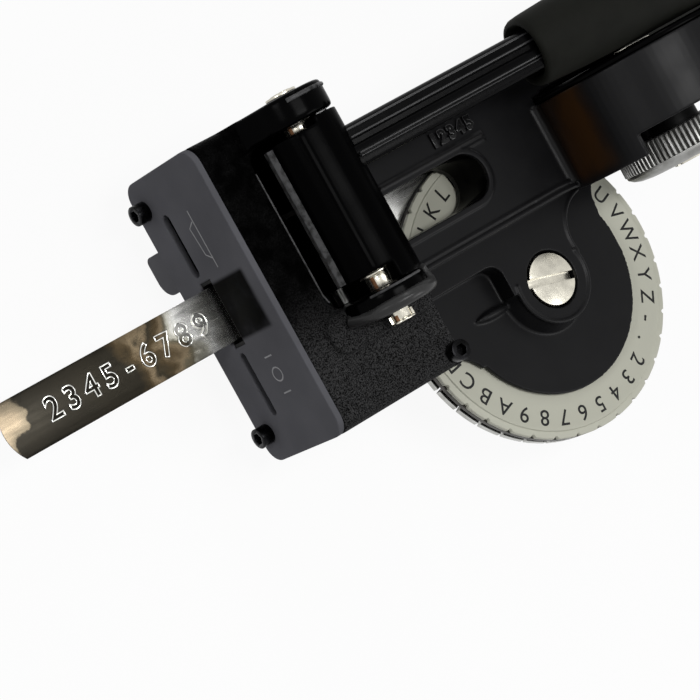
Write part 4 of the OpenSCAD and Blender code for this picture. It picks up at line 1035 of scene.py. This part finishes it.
def make_pivot():
    """The bushes, the pin with its clips, and thin brown strips along them, painted reflections."""
    near, far = EAR_Y0, EAR_Y1
    rings = [(3.2, 2.6, near, near + 3.2, 0.25), (4.1, 2.6, near + 3.2, near + 3.8, 0.15),
             (3.1, 2.6, far - 1.7, far, 0.2)]
    ring_piece("pivot_rings", rings, "pivot_bushes")
    # painted reflection: thin brown strips along the bushes and the pin's ends
    reflection_deg = 157            # place of the painted brown reflections round the pin, in degrees
    lines = [bush_reflection_line(near + 0.3, near + 2.9, 3.2, reflection_deg, 9), bush_reflection_line(far - 1.5, far - 0.2, 3.1, reflection_deg, 9)]
    hi = high("pin_clips").y
    pin_lo, pin_hi = low("pivot_pin").y, high("pivot_pin").y
    clips = [(2.8, 0.5, pin_lo, pin_lo + 0.45, 0.15), (3.5, 2.5, hi - 0.7, hi, 0.15)]
    ring_piece("pin_clip_rings", clips, "pin_clips")
    arms = []
    for deg in (32, 212):
        outline = arc((0, 0), 2.8, deg - 16, deg + 16, 6) + arc((0, 0), 2.3, deg + 16, deg - 16, 6)
        ends = [[(PIN.x + a, y, PIN.z + b) for a, b in outline] for y in (pin_lo + 0.2, near - 6.4)]
        arms.append(loft(ends))
    piece("clip_arms", merged(arms), "frame", "nickel")
    ring_piece("pin_ends", [(2.2, 0.6, pin_lo + 0.3, near, 0.2), (2.5, 0.6, near, pin_hi, 0.35)], "pivot_pin")
    lines += [bush_reflection_line(pin_lo + 0.5, near - 6.55, 2.2, reflection_deg, 14),
              bush_reflection_line(hi + 0.02, pin_hi - 0.3, 2.5, reflection_deg, 14)]
    paint(piece("bush_brown_reflections", merged(lines), "frame", "brass"), BROWN_REFLECTION_METAL)


def make_spring():
    lo, hi = low("return_spring"), high("return_spring")
    wire, turns, per_turn = 0.35, 9, 28
    radius = (hi.x - lo.x)/2 - wire
    steps = turns*per_turn
    points = []
    for i in range(steps + 1):
        a = 2*math.pi*i/per_turn
        points.append(((lo.x + hi.x)/2 + radius*math.cos(a), (lo.y + hi.y)/2 + radius*math.sin(a),
                       lo.z + wire + (hi.z - lo.z - 2*wire)*i/steps))
    piece("spring_coil", tube(points, wire, 8), "frame", "bright_steel", "return_spring")


make_pivot()
make_spring()

# ---------------------------------------------------------------- tape
EMBOSSED = "2345-6789"
FIRST_FIGURE_X = -119
FIGURE_PITCH = 5
FIGURE_SIZE = 7.0
END_BULGE = 2.2


def make_tape():
    lo, hi = low("tape_strip"), high("tape_strip")
    half = TAPE_W/2
    r = (half**2 + END_BULGE**2)/(2*END_BULGE)
    turn = math.degrees(math.asin(half/r))
    outline = [(hi.x, lo.y), (hi.x, hi.y)] + arc((lo.x + r, TAPE_Y), r, 180 - turn, 180 + turn, 16)
    strip = slab(outline, [], hi.z - lo.z, 0.04, lambda u, v, w: (u, v, TAPE_Z + w))
    raised, edges = [], []
    for i, text in enumerate(EMBOSSED):
        stand = Matrix.Translation((FIRST_FIGURE_X + FIGURE_PITCH*i, TAPE_Y + 0.35 - 2.45, TAPE_Z + 0.12))
        raised.append(placed(letter(text, FIGURE_SIZE, 0.34, 0.05, 0.14), stand))
        # painted highlights: bright metal ridges round the embossed figures
        rim = outlined(text, FIGURE_SIZE, 0.17, 0.14)
        edges.append(placed(rim, Matrix.Translation((0, 0, 0.17)) @ stand))
    piece("tape_embossed", merged([strip] + raised), "tape", "aluminium", "tape_strip")
    paint(piece("tape_figure_highlights", merged(edges), "tape", "aluminium"), HIGHLIGHT_METAL)


make_tape()


# ---------------------------------------------------------------- knurled wheel and spindle
def make_wheel():
    lo, hi = low("knurled_wheel"), high("knurled_wheel")
    outer, knurls, bore = (hi.x - lo.x)/2, 80, 2.1
    step_y = hi.y - (hi.y - lo.y)*0.7

    def ridges(angle, r, h):
        if r < outer - 0.25 or h < step_y - 0.05:
            return r
        wave = 0.5 + 0.5*math.cos(knurls*angle)
        return r - 0.95 + 0.95*min(1, 1.7*wave)**0.8

    profile = [(bore, lo.y + 1.6), (5.2, lo.y + 1.4), (5.6, lo.y + 0.3), (8, lo.y + 0.05),
               (outer - 5, lo.y), (outer - 3, lo.y + 0.3), (outer - 1.4, lo.y + 0.9),
               (outer - 0.4, lo.y + 1.7), (outer - 0.3, step_y - 0.25), (outer - 0.3, step_y),
               (outer, step_y + 0.15), (outer, hi.y - 0.3), (outer - 0.2, hi.y), (bore, hi.y)]
    wheel = lathe(profile, (REEL.x, 0, REEL.z), "Y", 960, ridges)
    paint(piece("wheel_knurled", wheel, "reel", "nickel", "knurled_wheel"), SATIN_NICKEL)
    bevelled_copy("spindle_turned", "reel_spindle", 0.15, "nickel", "reel")


make_wheel()


# ---------------------------------------------------------------- scene
make_camera()
make_world()
make_floor()
area_light("overhead", (-90, 30, 800), (-40, 30, 40), 130, 2.6, 420)
area_light("by_camera", (-680, 200, 420), (-30, 30, 30), 200, 0.9)
area_light("far_side", (60, 560, 420), (0, 20, 30), 70, 0.8, 460)
area_light("near_side", (200, -300, 380), (0, 10, 30), 200, 0.8, 260)

bpy.context.scene.view_settings.view_transform = "Standard"
